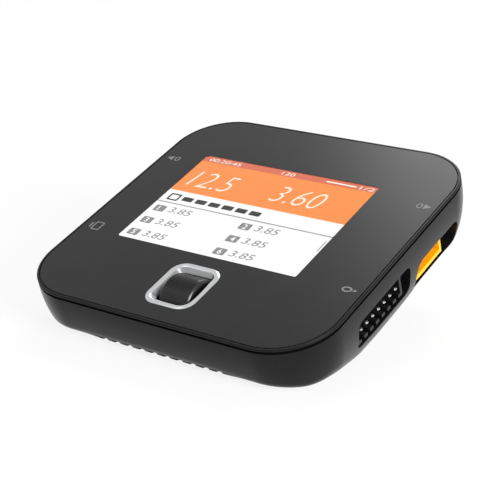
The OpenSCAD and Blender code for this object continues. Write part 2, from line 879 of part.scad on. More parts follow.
// Thumb wheel and what carries it
// Ring with a round top edge, held from below by its flange
module ring_section() {
    r = bezel_t / 2;
    translate([-far, -far]) square([far + bezel_r, far + bezel_proud - r]);
    translate([-far, bezel_proud - 2 * r]) square([far + bezel_r - r, 2 * r]);
    translate([bezel_r - r, bezel_proud - r]) circle(r);
}
module hole_section() {
    r = bezel_t / 2;
    difference() {
        translate([-far, -far]) square([far + bezel_r - r, 2 * far]);
        translate([bezel_r - r, bezel_proud - r]) circle(r);
        translate([bezel_r - bezel_t, -far]) square([bezel_t, far + bezel_proud - r]);
    }
}
module wheel_bezel() {
    color("#d0d0d0") on_panel() translate([wheel_x, axis_y, 0]) difference() {
        union() {
            intersection() {
                swept_body(bezel_w, bezel_l, bezel_r) ring_section();
                slab(bezel_w + past, bezel_l + past, bezel_r, flange_bottom, past);
            }
            slab(
                bezel_w + 2 * flange_w, bezel_l + 2 * flange_w, bezel_r + flange_w,
                flange_bottom, plate_bottom
            );
        }
        swept_body(bezel_w, bezel_l, bezel_r) hole_section();
    }
}
module thumb_wheel() {
    half = wheel_w / 2;
    step = 360 / wheel_ribs;
    rib = [[0, 0], [0.45, 0], [0.6, 1], [0.85, 1]];
    outline = [
        for (i = [0:wheel_ribs - 1], point = rib)
            let (r = wheel_r - rib_depth * point[1], a = step * (i + point[0])) [r * cos(a), r * sin(a)]
    ];
    color("#333333") on_panel() at_wheel() difference() {
        union() {
            intersection() {
                linear_extrude(wheel_w, center = true) polygon(outline);
                rotate_extrude() {
                    translate([0, -half]) square([wheel_r - wheel_edge, wheel_w]);
                    translate([0, wheel_edge - half]) square([wheel_r, wheel_w - 2 * wheel_edge]);
                    for (z = [wheel_edge - half, half - wheel_edge])
                        translate([wheel_r - wheel_edge, z]) circle(wheel_edge);
                }
            }
            rod(wheel_hub_r, -hub_w / 2, hub_w / 2);
        }
        rod(axle_r + fit, -far, far);
    }
}
module wheel_axle() {
    end = cheek_x + cheek_t;
    color("#b8b8b8") on_panel() at_wheel() rod(axle_r, encoder_play - encoder_t - end, end);
}
// A block between two distances from the wheel's middle, on one side of it
module beside_wheel(side, from, to, y0, y1, z0, z1) {
    x0 = wheel_x + min(side * from, side * to);
    block(x0, x0 + to - from, y0, y1, z0, z1);
}
// Carrier that slides on the cover's two guide posts
module wheel_cradle() {
    low = key_top + key_clear;
    outer = cheek_x + cheek_t;
    color("#2a2a2a") on_panel() difference() {
        union() {
            for (side = [-1, 1]) {
                beside_wheel(side, cheek_x, outer, cheek_front, bar_rear, low, cheek_top);
                beside_wheel(
                    side, outer - cheek_t / 2, guide_x + wing_end,
                    bar_rear - wing_l, bar_rear, wing_bottom, wing_top
                );
            }
            beside_wheel(1, -outer, outer, bar_y, bar_rear, low, wing_top);
        }
        at_guides() rod(guide_r + fit, -far, far);
        at_wheel() rod(axle_r + fit, -far, far);
    }
}
module encoder_body() {
    inner = cheek_x + cheek_t;
    low = key_top + encoder_clear;
    color("#4a6a4a") on_panel() difference() {
        beside_wheel(
            -1, inner, inner + encoder_t, axis_y - encoder_half, axis_y + encoder_half, low, cheek_top
        );
        at_wheel() rod(axle_r + fit, -far, far);
    }
}
module at_switch() on_panel() translate([wheel_x + switch_x, guide_y, 0]) children();
module switch_plunger() {
    color("#d8d8d8") at_switch() rod(plunger_r, wing_bottom - plunger_l, wing_bottom - fit);
}
module tact_switch() {
    color("#1e1e1e") at_switch() difference() {
        slab(switch_s, switch_s, switch_r, key_top, key_top + switch_h);
        rod(plunger_r + plunger_gap, wing_bottom - plunger_l - press_travel - plunger_room, far);
    }
}
module key_board() {
    half = guide_x + key_side;
    slot = cheek_x + cheek_t + key_slot;
    slot_rear = axis_y + wheel_r - wheel_gap;
    color("#1f5c36") on_panel() difference() {
        beside_wheel(1, -half, half, key_front, key_rear, key_bottom, key_top);
        beside_wheel(1, -slot, slot, key_front - past, slot_rear, -far, far);
        at_guides() rod(screw_r + slack, -far, far);
    }
}
module key_connector() {
    rear = key_rear - key_plug_inset;
    color("#2b2b2b") on_panel()
        block(-key_plug_half, key_plug_half, rear - key_plug_t, rear, board_top, key_bottom);
}
// Screw with its head on top and its shank below
module pan_screw(shank_l) {
    rod(screw_r - fit, -shank_l, 0);
    difference() {
        rod(screw_head_r, 0, screw_head_h);
        hex_drive(screw_drive_r, screw_head_h - screw_drive_depth, screw_head_h + past);
    }
}
module key_screws() {
    color("#9a9a9a") on_panel() at_guides() translate([0, 0, key_bottom]) rotate([180, 0, 0])
        pan_screw(key_screw_l);
}

// Main board and its parts
module main_board() {
    wide_rear = socket_mid - socket_w / 2 - board_gap;
    color("#1f5c36") on_panel() difference() {
        union() {
            block(-board_half, board_half, board_front, wide_rear, board_bottom, board_top);
            block(-neck_half, neck_half, wide_rear - past, tab_rear, board_bottom, board_top);
        }
        block(-fan_bay_half, fan_bay_half, board_rear, far, -far, far);
        for (p = screw_spots) translate([p.x, p.y, 0]) rod(screw_r + slack, -far, far);
    }
}
module board_screws() {
    color("#9a9a9a") on_panel() for (p = screw_spots) translate([p.x, p.y, board_top])
        pan_screw(board_t + board_bite);
}
module controller_chip() {
    color("#262626") on_board(chip_spot) slab(chip_s, chip_s, chip_r, 0, chip_t);
}
module power_inductors() {
    color("#55565a") both_sides() on_board(inductor_spot) {
        slab(inductor_s, inductor_s, inductor_r, 0, inductor_h);
        rod(inductor_cap_r, 0, inductor_h + inductor_cap_h);
    }
}
module capacitors() {
    color("#c8c8cc") for (x = capacitor_xs, y = capacitor_ys) on_board([x, y]) {
        slab(capacitor_base, capacitor_base, glass_r, 0, capacitor_base_h);
        rod(capacitor_r, 0, capacitor_h);
    }
}
module buzzer() {
    color("#202020") on_board(buzzer_spot) difference() {
        rod(buzzer_r, 0, buzzer_h);
        rod(buzzer_hole_r, buzzer_h - buzzer_hole_depth, far);
    }
}
module balance_resistors() {
    color("#2c2c2c") for (i = [0:balance_count - 2])
        on_board([header_rear - resistor_gap, balance_y + (i - (balance_count - 2) / 2) * balance_pitch])
            block(-resistor_l / 2, resistor_l / 2, -resistor_w / 2, resistor_w / 2, 0, resistor_t);
}
module power_transistors() {
    color("#2a2a2a") on_panel() for (x = transistor_xs) translate([x, sink_mid, board_bottom]) block(
        -transistor_w / 2, transistor_w / 2, -transistor_l / 2, transistor_l / 2, -transistor_t, 0
    );
}
module thermal_pad() {
    color("#9aa4b4") on_panel() translate([0, sink_mid, sink_top])
        block(-pad_w / 2, pad_w / 2, -pad_l / 2, pad_l / 2, 0, pad_t);
}
// Finned sink whose fins follow the sloping floor
module heat_sink() {
    color("#9c9fa3") intersection() {
        on_panel() {
            block(-sink_half, sink_half, sink_front, sink_rear, sink_top - sink_base_t, sink_top);
            for (i = [0:fin_count - 1]) {
                x = i * fin_pitch - sink_half;
                block(x, x + fin_t, sink_front, sink_rear, -far, sink_top);
            }
        }
        on_table() block(-far, far, -far, far, sink_low, far);
    }
}

// Shrouded power socket on the right, its front end cut at two corners so that a plug fits one way
module socket_outline(inset) {
    half_w = socket_w / 2 - inset;
    half_h = socket_h / 2 - inset;
    cut = half_h * socket_cut;
    polygon([
        [half_w, -half_h], [half_w, half_h], [cut - half_w, half_h],
        [-half_w, half_h - cut], [-half_w, cut - half_h], [cut - half_w, -half_h]
    ]);
}
module socket_prism(x0, x1, inset) {
    translate([x0, socket_mid, socket_z]) rotate([90, 0, 90]) linear_extrude(x1 - x0) socket_outline(inset);
}
module at_pins() {
    for (side = [-1, 1])
        translate([0, socket_mid + side * pin_pitch / 2, socket_z]) children();
}
module power_socket() {
    difference() {
        union() {
            socket_prism(socket_floor - past, socket_rim, 0);
            socket_prism(socket_rear, socket_floor, socket_neck);
        }
        socket_prism(socket_floor, socket_rim + past, socket_wall);
        at_pins() rotate([0, 90, 0]) rod(shoulder_r + fit, socket_rear - past, socket_rim);
    }
}
// Contact pins, each with a shoulder in the socket's body and a solder blade that rests on the board
module socket_pins() {
    blade_z = board_top - socket_z;
    at_pins() {
        rotate([0, 90, 0]) {
            rod(shoulder_r, socket_rear - pin_tail, socket_floor);
            rod(pin_r, socket_rear, pin_end - pin_tip);
            translate([0, 0, pin_end - pin_tip]) cylinder(r1 = pin_r, r2 = pin_r - pin_tip, h = pin_tip);
        }
        block(
            socket_rear - blade_l, socket_rear + blade_lap, -blade_half, blade_half,
            blade_z, blade_z + blade_t
        );
    }
}
module output_socket() color("#f5a800") on_panel() power_socket();
module output_pins() color("#d9b35a") on_panel() socket_pins();
module input_socket() color("#f5a800") on_panel() mirror([1, 0, 0]) power_socket();
module input_pins() color("#d9b35a") on_panel() mirror([1, 0, 0]) socket_pins();

// Balance header with a comb of notches along its lower wall
module balance_spots() {
    for (i = [0:balance_count - 1])
        translate([0, header_mid + (i - (balance_count - 1) / 2) * balance_pitch, header_z]) children();
}
module balance_header() {
    half = header_w / 2;
    inner = half - header_wall;
    high = header_low + header_h;
    color("#1b1b1b") on_panel() difference() {
        block(header_rear, header_face, header_mid - half, header_mid + half, header_low, high);
        block(
            header_rear + header_back, far, header_mid - inner, header_mid + inner,
            header_low + header_wall, high - header_wall
        );
        balance_spots() {
            cube([far, header_pin + 2 * fit, header_pin + 2 * fit], center = true);
            block(header_face - comb_depth, far, -comb_half, comb_half, -header_h, 0);
        }
    }
}
// Square pins with bevelled tips, each with a leg down to the board
module pin_side() {
    half = header_pin / 2;
    linear_extrude(header_pin, center = true) polygon([
        [header_tail, -half], [header_tip - pin_bevel_l, -half], [header_tip, pin_bevel - half],
        [header_tip, half - pin_bevel], [header_tip - pin_bevel_l, half], [header_tail, half]
    ]);
}
module balance_pins() {
    half = header_pin / 2;
    color("#e0e0e0") on_panel() balance_spots() {
        intersection() {
            pin_side();
            rotate([90, 0, 0]) pin_side();
        }
        block(header_tail, header_tail + header_pin, -half, half, board_top - header_z, half);
    }
}
module usb_outline(inset) {
    half_w = usb_w / 2 - inset;
    high = usb_h - inset;
    polygon([
        [-half_w, high], [-half_w, usb_cut], [usb_cut - half_w, inset],
        [half_w - usb_cut, inset], [half_w, usb_cut], [half_w, high]
    ]);
}
module at_usb() translate([-usb_face, usb_mid, board_top]) rotate([90, 0, 90]) children();
module usb_shell() {
    color("#c4c6c8") on_panel() at_usb() difference() {
        linear_extrude(usb_l) usb_outline(0);
        translate([0, 0, -past]) linear_extrude(usb_l + past - usb_wall) usb_outline(usb_wall);
    }
}
module usb_tongue() {
    color("#151515") on_panel() at_usb() block(
        -tongue_w / 2, tongue_w / 2, tongue_lift, tongue_lift + tongue_t, tongue_inset, usb_l - usb_wall
    );
}

// Fan, drawn with its axis upright and its outlet side on top
module fan_frame() {
    rear = fan_t / 2;
    hole = fan_s / 2 - fan_hole_inset;
    color("#232323") at_fan() difference() {
        union() {
            difference() {
                slab(fan_s, fan_s, fan_corner_r, -rear, rear);
                rod(duct_r, -far, far);
            }
            rod(strut_disc_r, rear - strut_t, rear);
            for (i = [0:strut_count - 1]) rotate(strut_turn + 360 / strut_count * i)
                block(0, duct_r + slack, -strut_w / 2, strut_w / 2, rear - strut_t, rear);
            rod(bearing_r, 0, rear);
        }
        rod(fan_shaft_r + fit, -far, far);
        for (x = [-hole, hole], y = [-hole, hole]) translate([x, y, 0]) rod(fan_hole_r, -far, far);
    }
}
module fan_stator() {
    top = fan_t / 2 - strut_t - coil_gap;
    color("#b06a35") at_fan() difference() {
        union() {
            rod(coil_r, 0, top);
            for (i = [0:coil_count - 1]) rotate(360 / coil_count * i)
                block(0, coil_arm, -coil_arm_half, coil_arm_half, 0, top);
        }
        rod(bearing_r + fit, -far, far);
    }
}
module fan_rotor() {
    mid = (rotor_front + rotor_rear) / 2;
    color("#2b2b2b") at_fan() difference() {
        union() {
            rod(rotor_r, rotor_front, rotor_rear);
            intersection() {
                for (i = [0:fan_blades - 1]) rotate(360 / fan_blades * i)
                    translate([0, 0, mid]) rotate([blade_pitch_angle, 0, 0]) block(
                        rotor_r - rotor_wall / 2, fan_s, -blade_chord / 2, blade_chord / 2,
                        -blade_sheet / 2, blade_sheet / 2
                    );
                rod(duct_r - blade_tip_gap, rotor_front, rotor_rear);
            }
        }
        rod(rotor_r - rotor_wall, rotor_bore, far);
        rod(fan_shaft_r + fit / 2, -far, far);
    }
}
module fan_shaft() color("#c0c0c0") at_fan() rod(fan_shaft_r, rotor_front, fan_t / 2 - coil_gap);

bottom_shell();
top_cover();
face_panel();
screen_window();
lcd_panel();
lcd_frame();
screen_gasket();
lcd_flex();
wheel_bezel();
thumb_wheel();
wheel_axle();
wheel_cradle();
encoder_body();
switch_plunger();
tact_switch();
key_board();
key_connector();
key_screws();
main_board();
board_screws();
flex_connector();
controller_chip();
power_inductors();
capacitors();
buzzer();
balance_resistors();
power_transistors();
thermal_pad();
heat_sink();
output_socket();
output_pins();
input_socket();
input_pins();
balance_header();
balance_pins();
usb_shell();
usb_tongue();
fan_frame();
fan_stator();
fan_rotor();
fan_shaft();
case_screws();
rubber_feet();
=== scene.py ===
# %% [markdown]
# # A balance charger for model batteries
# The housing, the sockets, the wheel and the works inside come from the CAD model at their real size.
# This lesson gives them their materials, changes the shape of four of them a little, prints the marks on
# the face panel, lights the display and sets up the studio. Everything stays in the CAD model's frame:
# metres, Z up, the front edge towards -Y.

# %% Load the CAD model
import json
import math

import bmesh
import bpy
import numpy as np
from mathutils import Matrix, Vector


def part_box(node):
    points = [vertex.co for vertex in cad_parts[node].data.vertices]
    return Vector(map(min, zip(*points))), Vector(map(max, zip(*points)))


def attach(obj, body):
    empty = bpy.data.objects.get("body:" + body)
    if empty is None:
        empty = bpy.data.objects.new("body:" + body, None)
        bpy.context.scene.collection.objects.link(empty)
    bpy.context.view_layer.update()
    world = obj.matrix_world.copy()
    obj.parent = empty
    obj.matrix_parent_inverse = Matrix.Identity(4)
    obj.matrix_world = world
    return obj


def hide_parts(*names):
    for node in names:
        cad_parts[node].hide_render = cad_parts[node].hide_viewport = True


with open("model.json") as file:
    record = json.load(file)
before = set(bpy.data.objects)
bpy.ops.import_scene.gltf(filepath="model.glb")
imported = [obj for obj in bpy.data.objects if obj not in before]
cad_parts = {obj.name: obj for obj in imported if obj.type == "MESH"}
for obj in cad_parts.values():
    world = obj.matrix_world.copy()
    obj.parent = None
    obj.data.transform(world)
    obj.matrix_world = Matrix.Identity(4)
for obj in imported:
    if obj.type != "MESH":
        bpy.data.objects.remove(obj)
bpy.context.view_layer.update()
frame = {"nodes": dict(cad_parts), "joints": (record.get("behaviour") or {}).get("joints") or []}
MM = 0.001
scene = bpy.context.scene

# %% [markdown]
# ## The camera
# The photograph looks down on the charger from the front right with a long lens, so the far edge is only
# a little shorter than the near one. Three angles typed in by hand would turn the camera as well, but a
# camera that is aimed at a point with its up axis level keeps the horizon straight by itself.

# %% Set the camera
CAMERA_AT = Vector((0.169403, -0.243115, 0.117938))
CAMERA_AIM = Vector((0.006691, -0.010603, 0.019597))
lens = bpy.data.cameras.new("product_lens")
lens.sensor_width = 36.0
lens.lens = 97.9
lens.clip_start = 0.01
lens.clip_end = 20.0
camera = bpy.data.objects.new("product_camera", lens)
camera.location = CAMERA_AT
camera.rotation_mode = "QUATERNION"
camera.rotation_quaternion = (CAMERA_AIM - CAMERA_AT).to_track_quat("-Z", "Y")
scene.collection.objects.link(camera)
scene.camera = camera
scene.view_settings.view_transform = "Standard"
print("camera", round((CAMERA_AIM - CAMERA_AT).length, 3), "m from its aim")

# %% [markdown]
# ## The panel's own frame
# The face panel slopes, and everything printed or shown on it is laid out on that slope. The wheel's
# press joint runs square to the panel, so its axis gives the panel's normal, and the middle of the
# panel's box gives its middle. A matrix made of both turns panel millimetres into the model's metres,
# so that no slope has to be worked out again for each shape.

# %% Find the face panel
PANEL_T = 0.5 * MM
press = next(joint for joint in frame["joints"] if joint["name"] == "wheel_press")
panel_up = -Vector(press["axis"]).normalized()
panel_right = Vector((1, 0, 0))
panel_back = panel_up.cross(panel_right)
panel_low, panel_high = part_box("face_panel")
panel_mid = (panel_low + panel_high) / 2 + panel_up * PANEL_T / 2
panel = Matrix((panel_right, panel_back, panel_up)).transposed().to_4x4()
panel.translation = panel_mid
panel_mm = panel @ Matrix.Scale(MM, 4)


def panel_box(node):
    """Lowest and highest corner of a CAD node in panel millimetres."""
    to_panel = panel_mm.inverted()
    points = [to_panel @ vertex.co for vertex in frame["nodes"][node].data.vertices]
    return (Vector(min(p[i] for p in points) for i in range(3)),
            Vector(max(p[i] for p in points) for i in range(3)))


screen_low, screen_high = panel_box("screen_window")
print("screen from", [round(v, 2) for v in screen_low], "to", [round(v, 2) for v in screen_high], "mm")

# %% [markdown]
# ## Colours and nodes
# Hex colours are read off as a screen shows them, and the shader works in linear light, so one
# function converts them. Another small function adds a shader node with its settings, its fixed inputs
# and what feeds it, which keeps each material short enough to read.

# %% Helpers for materials


def linear(hex_colour):
    """A screen colour such as 3D3D3D as linear red, green, blue and alpha."""
    channels = [int(hex_colour[i:i + 2], 16) / 255 for i in (0, 2, 4)]
    bright = [c / 12.92 if c <= 0.04045 else ((c + 0.055) / 1.055) ** 2.4 for c in channels]
    return (*bright, 1.0)


def add(tree, kind, values=None, links=None, **settings):
    """One node: its settings, its fixed inputs and the sockets that feed it."""
    node = tree.nodes.new(kind)
    for name, value in settings.items():
        setattr(node, name, value)
    for name, value in (values or {}).items():
        node.inputs[name].default_value = value
    for name, socket in (links or {}).items():
        tree.links.new(socket, node.inputs[name])
    return node


def start(name):
    """An empty material with its output and the coordinates of the object in metres."""
    made = bpy.data.materials.new(name)
    made.use_nodes = True
    made.node_tree.nodes.clear()
    output = add(made.node_tree, "ShaderNodeOutputMaterial")
    place = add(made.node_tree, "ShaderNodeTexCoord").outputs["Object"]
    return made, made.node_tree, output, place


def per_metre(size_mm):
    """Texture scale at which one cell is that many millimetres wide."""
    return 1 / (size_mm * MM)


print("mid grey 808080 is", round(linear("808080")[0], 3), "in linear light")

# %% [markdown]
# ## One recipe for moulded and cast surfaces
# Most pieces here were pressed in a mould: the surface is one colour, with a fine grain from the mould's
# steel and slow changes of gloss where the plastic cooled. The recipe takes a dark and a light tone, the
# width of the grain, how deep it is and the range of roughness. Painted pictures could show the same, but
# noise from nodes needs no unwrapping and holds from any distance.

# %% Make the surface recipe
# Patches of gloss come from uneven cooling and are some millimetres wide
PATCH_MM = 6.0
# Where the two tones lie on the noise, whose product seldom leaves this range
DARK_AT, LIGHT_AT = 0.1, 0.45


def surface(name, dark, light, grain_mm, depth_mm, rough, shader):
    """A material whose tone, gloss and relief vary with a fine grain and with wide soft patches."""
    made, tree, output, place = start(name)
    grain = add(tree, "ShaderNodeTexNoise", {"Scale": per_metre(grain_mm), "Detail": 3.0},
                {"Vector": place})
    patch = add(tree, "ShaderNodeTexNoise", {"Scale": per_metre(PATCH_MM), "Detail": 2.0},
                {"Vector": place})
    both = add(tree, "ShaderNodeMath", None,
               {0: grain.outputs["Fac"], 1: patch.outputs["Fac"]}, operation="MULTIPLY")
    tone = add(tree, "ShaderNodeValToRGB", None, {"Fac": both.outputs["Value"]})
    for stop, at, colour in zip(tone.color_ramp.elements, (DARK_AT, LIGHT_AT), (dark, light)):
        stop.position = at
        stop.color = linear(colour)
    gloss = add(tree, "ShaderNodeMapRange", {"To Min": rough[0], "To Max": rough[1]},
                {"Value": patch.outputs["Fac"]})
    relief = add(tree, "ShaderNodeBump", {"Strength": 1.0, "Distance": depth_mm * MM},
                 {"Height": grain.outputs["Fac"]})
    skin = add(tree, "ShaderNodeBsdfPrincipled", shader, {
        "Base Color": tone.outputs["Color"],
        "Roughness": gloss.outputs["Result"],
        "Normal": relief.outputs["Normal"],
    })
    tree.links.new(skin.outputs["BSDF"], output.inputs["Surface"])
    return made


def dress(made, *nodes):
    """Gives a material to CAD nodes."""
    for node in nodes:
        mesh = frame["nodes"][node].data
        mesh.materials.clear()
        mesh.materials.append(made)


print("gloss patches", PATCH_MM, "mm wide")

# %% [markdown]
# ## Housing and face panel
# The shell and the cover are black ABS from a spark-eroded mould: a very fine even grain that breaks up
# reflections into a soft sheen. The face panel is a separate sheet with a smoother satin coat, so it
# mirrors the studio a little more clearly, brighter towards the far edge. One black for all three would
# merge them. Their tones are nearly the same, so each gets its own gloss.

# %% Dress the housing
# Black ABS: the mould's real grain is about 0.1 mm, drawn at 0.3 mm so that it shows at this distance. The
# grain traps part of the mirrored light, so the walls look dark face on and pale only at a low angle
moulded_abs = surface("moulded_black_abs", "0F0F10", "161617", grain_mm=0.3, depth_mm=0.002,
                      rough=(0.2, 0.26), shader={"IOR": 1.53, "Specular IOR Level": 0.15})
# Satin coat on a polycarbonate sheet: almost no grain, a soft reflection that fades from the far edge
satin_sheet = surface("satin_coated_sheet", "101010", "161616", grain_mm=0.25, depth_mm=0.001,
                      rough=(0.26, 0.32), shader={"IOR": 1.53, "Specular IOR Level": 0.18})
# The cover's narrow rim comes from a duller part of the mould and stays darker than the panel beside it
rim_abs = surface("dull_black_abs", "0E0E0F", "151516", grain_mm=0.3, depth_mm=0.003,
                  rough=(0.3, 0.38), shader={"IOR": 1.53, "Specular IOR Level": 0.11})
dress(moulded_abs, "bottom_shell")
dress(rim_abs, "top_cover")
dress(satin_sheet, "face_panel")
print("housing dressed")

# %% [markdown]
# ## The bowl's corners
# The bottom shell is one moulded bowl, and on the real one the corners run down to the table without an
# edge. The CAD solid draws its lower corners in with a ball, which leaves a crease, and its floor has
# sharp edges at the corners. A bevel would need clean edge loops, which a CAD mesh doesn't have. So a copy
# of the shell stands for it here: its triangles are cut finer at the corners and on the sides, and every
# point of the outside there is moved onto a smooth surface. That surface is where a blend of two distances
# is zero: how far a point lies outside the wall and how far below the floor. The ball only serves to tell
# which points of the CAD solid are on its outside.

# %% Describe the wall
# The wall's section repeats the CAD model's sizes, in panel millimetres: an upper arc, a turn and a
# straight run
HALF = 39.3
CORNER_R = 14.0
LIP_Z = -1.15
UPPER_R = 28.0
UPPER_LEAN = math.radians(4)
TURN_R = 9.0
TURN_START = math.radians(22)
TURN_END = math.radians(48)
axis_at = HALF - CORNER_R
upper_u = CORNER_R - UPPER_R * math.cos(UPPER_LEAN)
upper_z = LIP_Z - UPPER_R * math.sin(UPPER_LEAN)
turn_u = upper_u + (UPPER_R - TURN_R) * math.cos(TURN_START)
turn_z = upper_z - (UPPER_R - TURN_R) * math.sin(TURN_START)
turn_first = turn_z - TURN_R * math.sin(TURN_START)
turn_last = turn_z - TURN_R * math.sin(TURN_END)


def wall_reach(z):
    """How far the outside stands from the corners' axis at depth z."""
    arc = upper_u + np.sqrt(np.maximum(UPPER_R ** 2 - (z - upper_z) ** 2, 0))
    bend = turn_u + np.sqrt(np.maximum(TURN_R ** 2 - (z - turn_z) ** 2, 0))
    run = turn_u + TURN_R * math.cos(TURN_END) - (turn_last - z) * math.tan(TURN_END)
    return np.where(z > turn_first, arc, np.where(z > turn_last, bend, run))


print("wall turns under between", round(turn_first, 2), "and", round(turn_last, 2), "mm")

# %% Describe the CAD model's ball
# The ball leaves the corners at one depth and trims them by 1.5 mm at the other
BALL_START, BALL_END, BALL_TRIM = -6.0, -10.0, 1.5
far_start = math.sqrt(2) * axis_at + float(wall_reach(BALL_START))
far_end = math.sqrt(2) * axis_at + float(wall_reach(BALL_END)) - BALL_TRIM
ball_z = ((far_start ** 2 - far_end ** 2 + BALL_START ** 2 - BALL_END ** 2)
          / (2 * (BALL_START - BALL_END)))
ball_r = math.hypot(far_start, BALL_START - ball_z)
print("ball of", round(ball_r, 2), "mm at depth", round(ball_z, 2), "mm")

# %% Measure how far a point lies outside
FLOOR_H = 0.7
STEP = 0.01
CORNER_BLEND = 4


def soft_step(x, low, high):
    """From 0 at the low end to 1 at the high end, without a corner at either."""
    t = np.clip((x - low) / (high - low), 0, 1)
    return t * t * (3 - 2 * t)


def soft_max(a, b, width):
    """The larger of two distances, rounded off where they differ by less than the width."""
    share = np.maximum(width - np.abs(a - b), 0) / width
    return np.maximum(a, b) + share ** 2 * width / 4


def outside_wall(p, least_r=None):
    """Distance from the wall. Its corners narrow with depth, down to a least radius if one is given."""
    reach = wall_reach(p[:, 2])
    slope = (wall_reach(p[:, 2] + STEP) - wall_reach(p[:, 2] - STEP)) / (2 * STEP)
    corner_r = reach if least_r is None else soft_max(reach, least_r, CORNER_BLEND)
    beyond = np.abs(p[:, :2]) - (axis_at + reach - corner_r)[:, None]
    most = beyond.max(axis=1)
    across = np.where(most > 0, np.linalg.norm(np.maximum(beyond, 0), axis=1), most)
    return (across - corner_r) / np.sqrt(1 + slope ** 2)


def outside_ball(p):
    return np.linalg.norm(p - (0, 0, ball_z), axis=1) - ball_r


def below_floor(p):
    return FLOOR_H - (panel_mid.z / MM + panel_back.z * p[:, 1] + panel_up.z * p[:, 2])


lip_point = np.array([[HALF, 0.0, LIP_Z]])
print("the lip lies", abs(round(float(outside_wall(lip_point)[0]), 3)), "mm from the wall")

# %% Blend wall and floor into a smooth bowl
# The edge between wall and floor is narrow at the front, wide where the corner turns, narrow at the side
# and wider again at the rear. Each change runs between two places from front to back
EDGE_FRONT = 1.6
EDGE_TURN = 4.4
EDGE_SIDE = 1.0
EDGE_REAR = 3.0
INTO_TURN = (-35, -27)
OUT_OF_TURN = (-27, -8)
INTO_REAR = (10, 20)
# Low on the sides the wall bulges a little between the corners, which stay round down to the floor. The
# bulge grows with depth, towards the side, and from the front, and fades towards the rear
BULGE = 0.28
BULGE_DEPTH = (5, 14)
BULGE_SIDE = (22, 28)
BULGE_FRONT = (-22, -8)
BULGE_REAR = (-14, 0)
LEAST_R = 7.0


def smooth_bowl(p):
    """Distance outside the smooth bowl."""
    x, y, z = p.T
    edge = (EDGE_FRONT + (EDGE_TURN - EDGE_FRONT) * soft_step(y, *INTO_TURN)
            + (EDGE_SIDE - EDGE_TURN) * soft_step(y, *OUT_OF_TURN)
            + (EDGE_REAR - EDGE_SIDE) * soft_step(y, *INTO_REAR))
    bulge = (BULGE * soft_step(-z, *BULGE_DEPTH) * soft_step(np.abs(x), *BULGE_SIDE)
             * soft_step(y, *BULGE_FRONT) * soft_step(-y, *BULGE_REAR))
    return soft_max(outside_wall(p, LEAST_R) - bulge, below_floor(p), edge)


def growth(p):
    """Direction in which the distance to the smooth bowl grows, by small steps along each axis."""
    steps = np.eye(3) * STEP
    return np.stack([smooth_bowl(p + s) - smooth_bowl(p - s) for s in steps], axis=1) / (2 * STEP)


print("the lip lies", abs(round(float(smooth_bowl(lip_point)[0]), 3)), "mm from the smooth bowl")

# %% Cut a copy of the shell finer
# Edges longer than this are halved, over and over, where the outside will move
FINE = 0.8
MOST_CUTS = 8
# Points this far under the outside still count as part of it, if they are also near the wall
SKIN = 0.5
NEAR_WALL = 4
# The move fades in between these distances from the middle: at the front and rear, at the sides, and over
# the width, whose middle stays as it is
FADE_ENDS = (10, 18)
FADE_SIDES = (27, 31)
FADE_WIDTH = (16, 22)
# Points closer than the first length are one, and faces thinner than the second are taken out
SAME = 1e-4
SLIVER = 1e-3


def corner_share(p):
    """How much of the way each point of the outside moves: all at the corners, none between them."""
    x, y = np.abs(p[:, 0]), np.abs(p[:, 1])
    outside = np.maximum(np.maximum(outside_wall(p), outside_ball(p)), below_floor(p)) > -SKIN
    near = outside_wall(p) > -NEAR_WALL
    beside = np.maximum(soft_step(y, *FADE_ENDS), soft_step(x, *FADE_SIDES))
    return outside * near * soft_step(x, *FADE_WIDTH) * beside


def only_triangles(build):
    bmesh.ops.triangulate(build, faces=[face for face in build.faces if len(face.verts) > 3])


def drop_slivers(build):
    """Takes out faces without width, which would shade as dark specks."""
    bmesh.ops.dissolve_degenerate(build, dist=SLIVER, edges=build.edges)
    only_triangles(build)


shell = bmesh.new()
shell.from_mesh(frame["nodes"]["bottom_shell"].data)
bmesh.ops.transform(shell, matrix=panel_mm.inverted(), verts=shell.verts)
bmesh.ops.remove_doubles(shell, verts=shell.verts, dist=SAME)
drop_slivers(shell)
for _ in range(MOST_CUTS):
    shell.verts.index_update()
    share = corner_share(np.array([v.co for v in shell.verts]))
    long_edges = [edge for edge in shell.edges
                  if min(share[v.index] for v in edge.verts) > 0 and edge.calc_length() > FINE]
    if not long_edges:
        break
    bmesh.ops.subdivide_edges(shell, edges=long_edges, cuts=1)
    only_triangles(shell)
drop_slivers(shell)
print("shell cut into", len(shell.faces), "triangles")

# %% Move its outside onto the bowl
# Each step walks every point down its slope by its distance, and after a few steps all lie on the bowl
SETTLE_STEPS = 8
LEAST_GROWTH = 0.1
points = np.array([v.co for v in shell.verts])
share = corner_share(points)
settled = points.copy()
for _ in range(SETTLE_STEPS):
    grow = growth(settled)
    pace = smooth_bowl(settled) / np.maximum((grow ** 2).sum(axis=1), LEAST_GROWTH)
    settled -= pace[:, None] * grow
shift = share[:, None] * (settled - points)
points += shift
for vertex, spot in zip(shell.verts, points):
    vertex.co = spot
print("shell of", len(shell.verts), "points, moved by up to",
      round(float(np.linalg.norm(shift, axis=1).max()), 2), "mm")

# %% Shade the copy
SHELL_SHARP = math.radians(30)
ON_BOWL = 0.03
FACING = 0.85
TINY = 1e-6
mesh = bpy.data.meshes.new("bottom_bowl")
shell.to_mesh(mesh)
shell.free()
mesh.shade_smooth()
mesh.set_sharp_from_angle(angle=SHELL_SHARP)
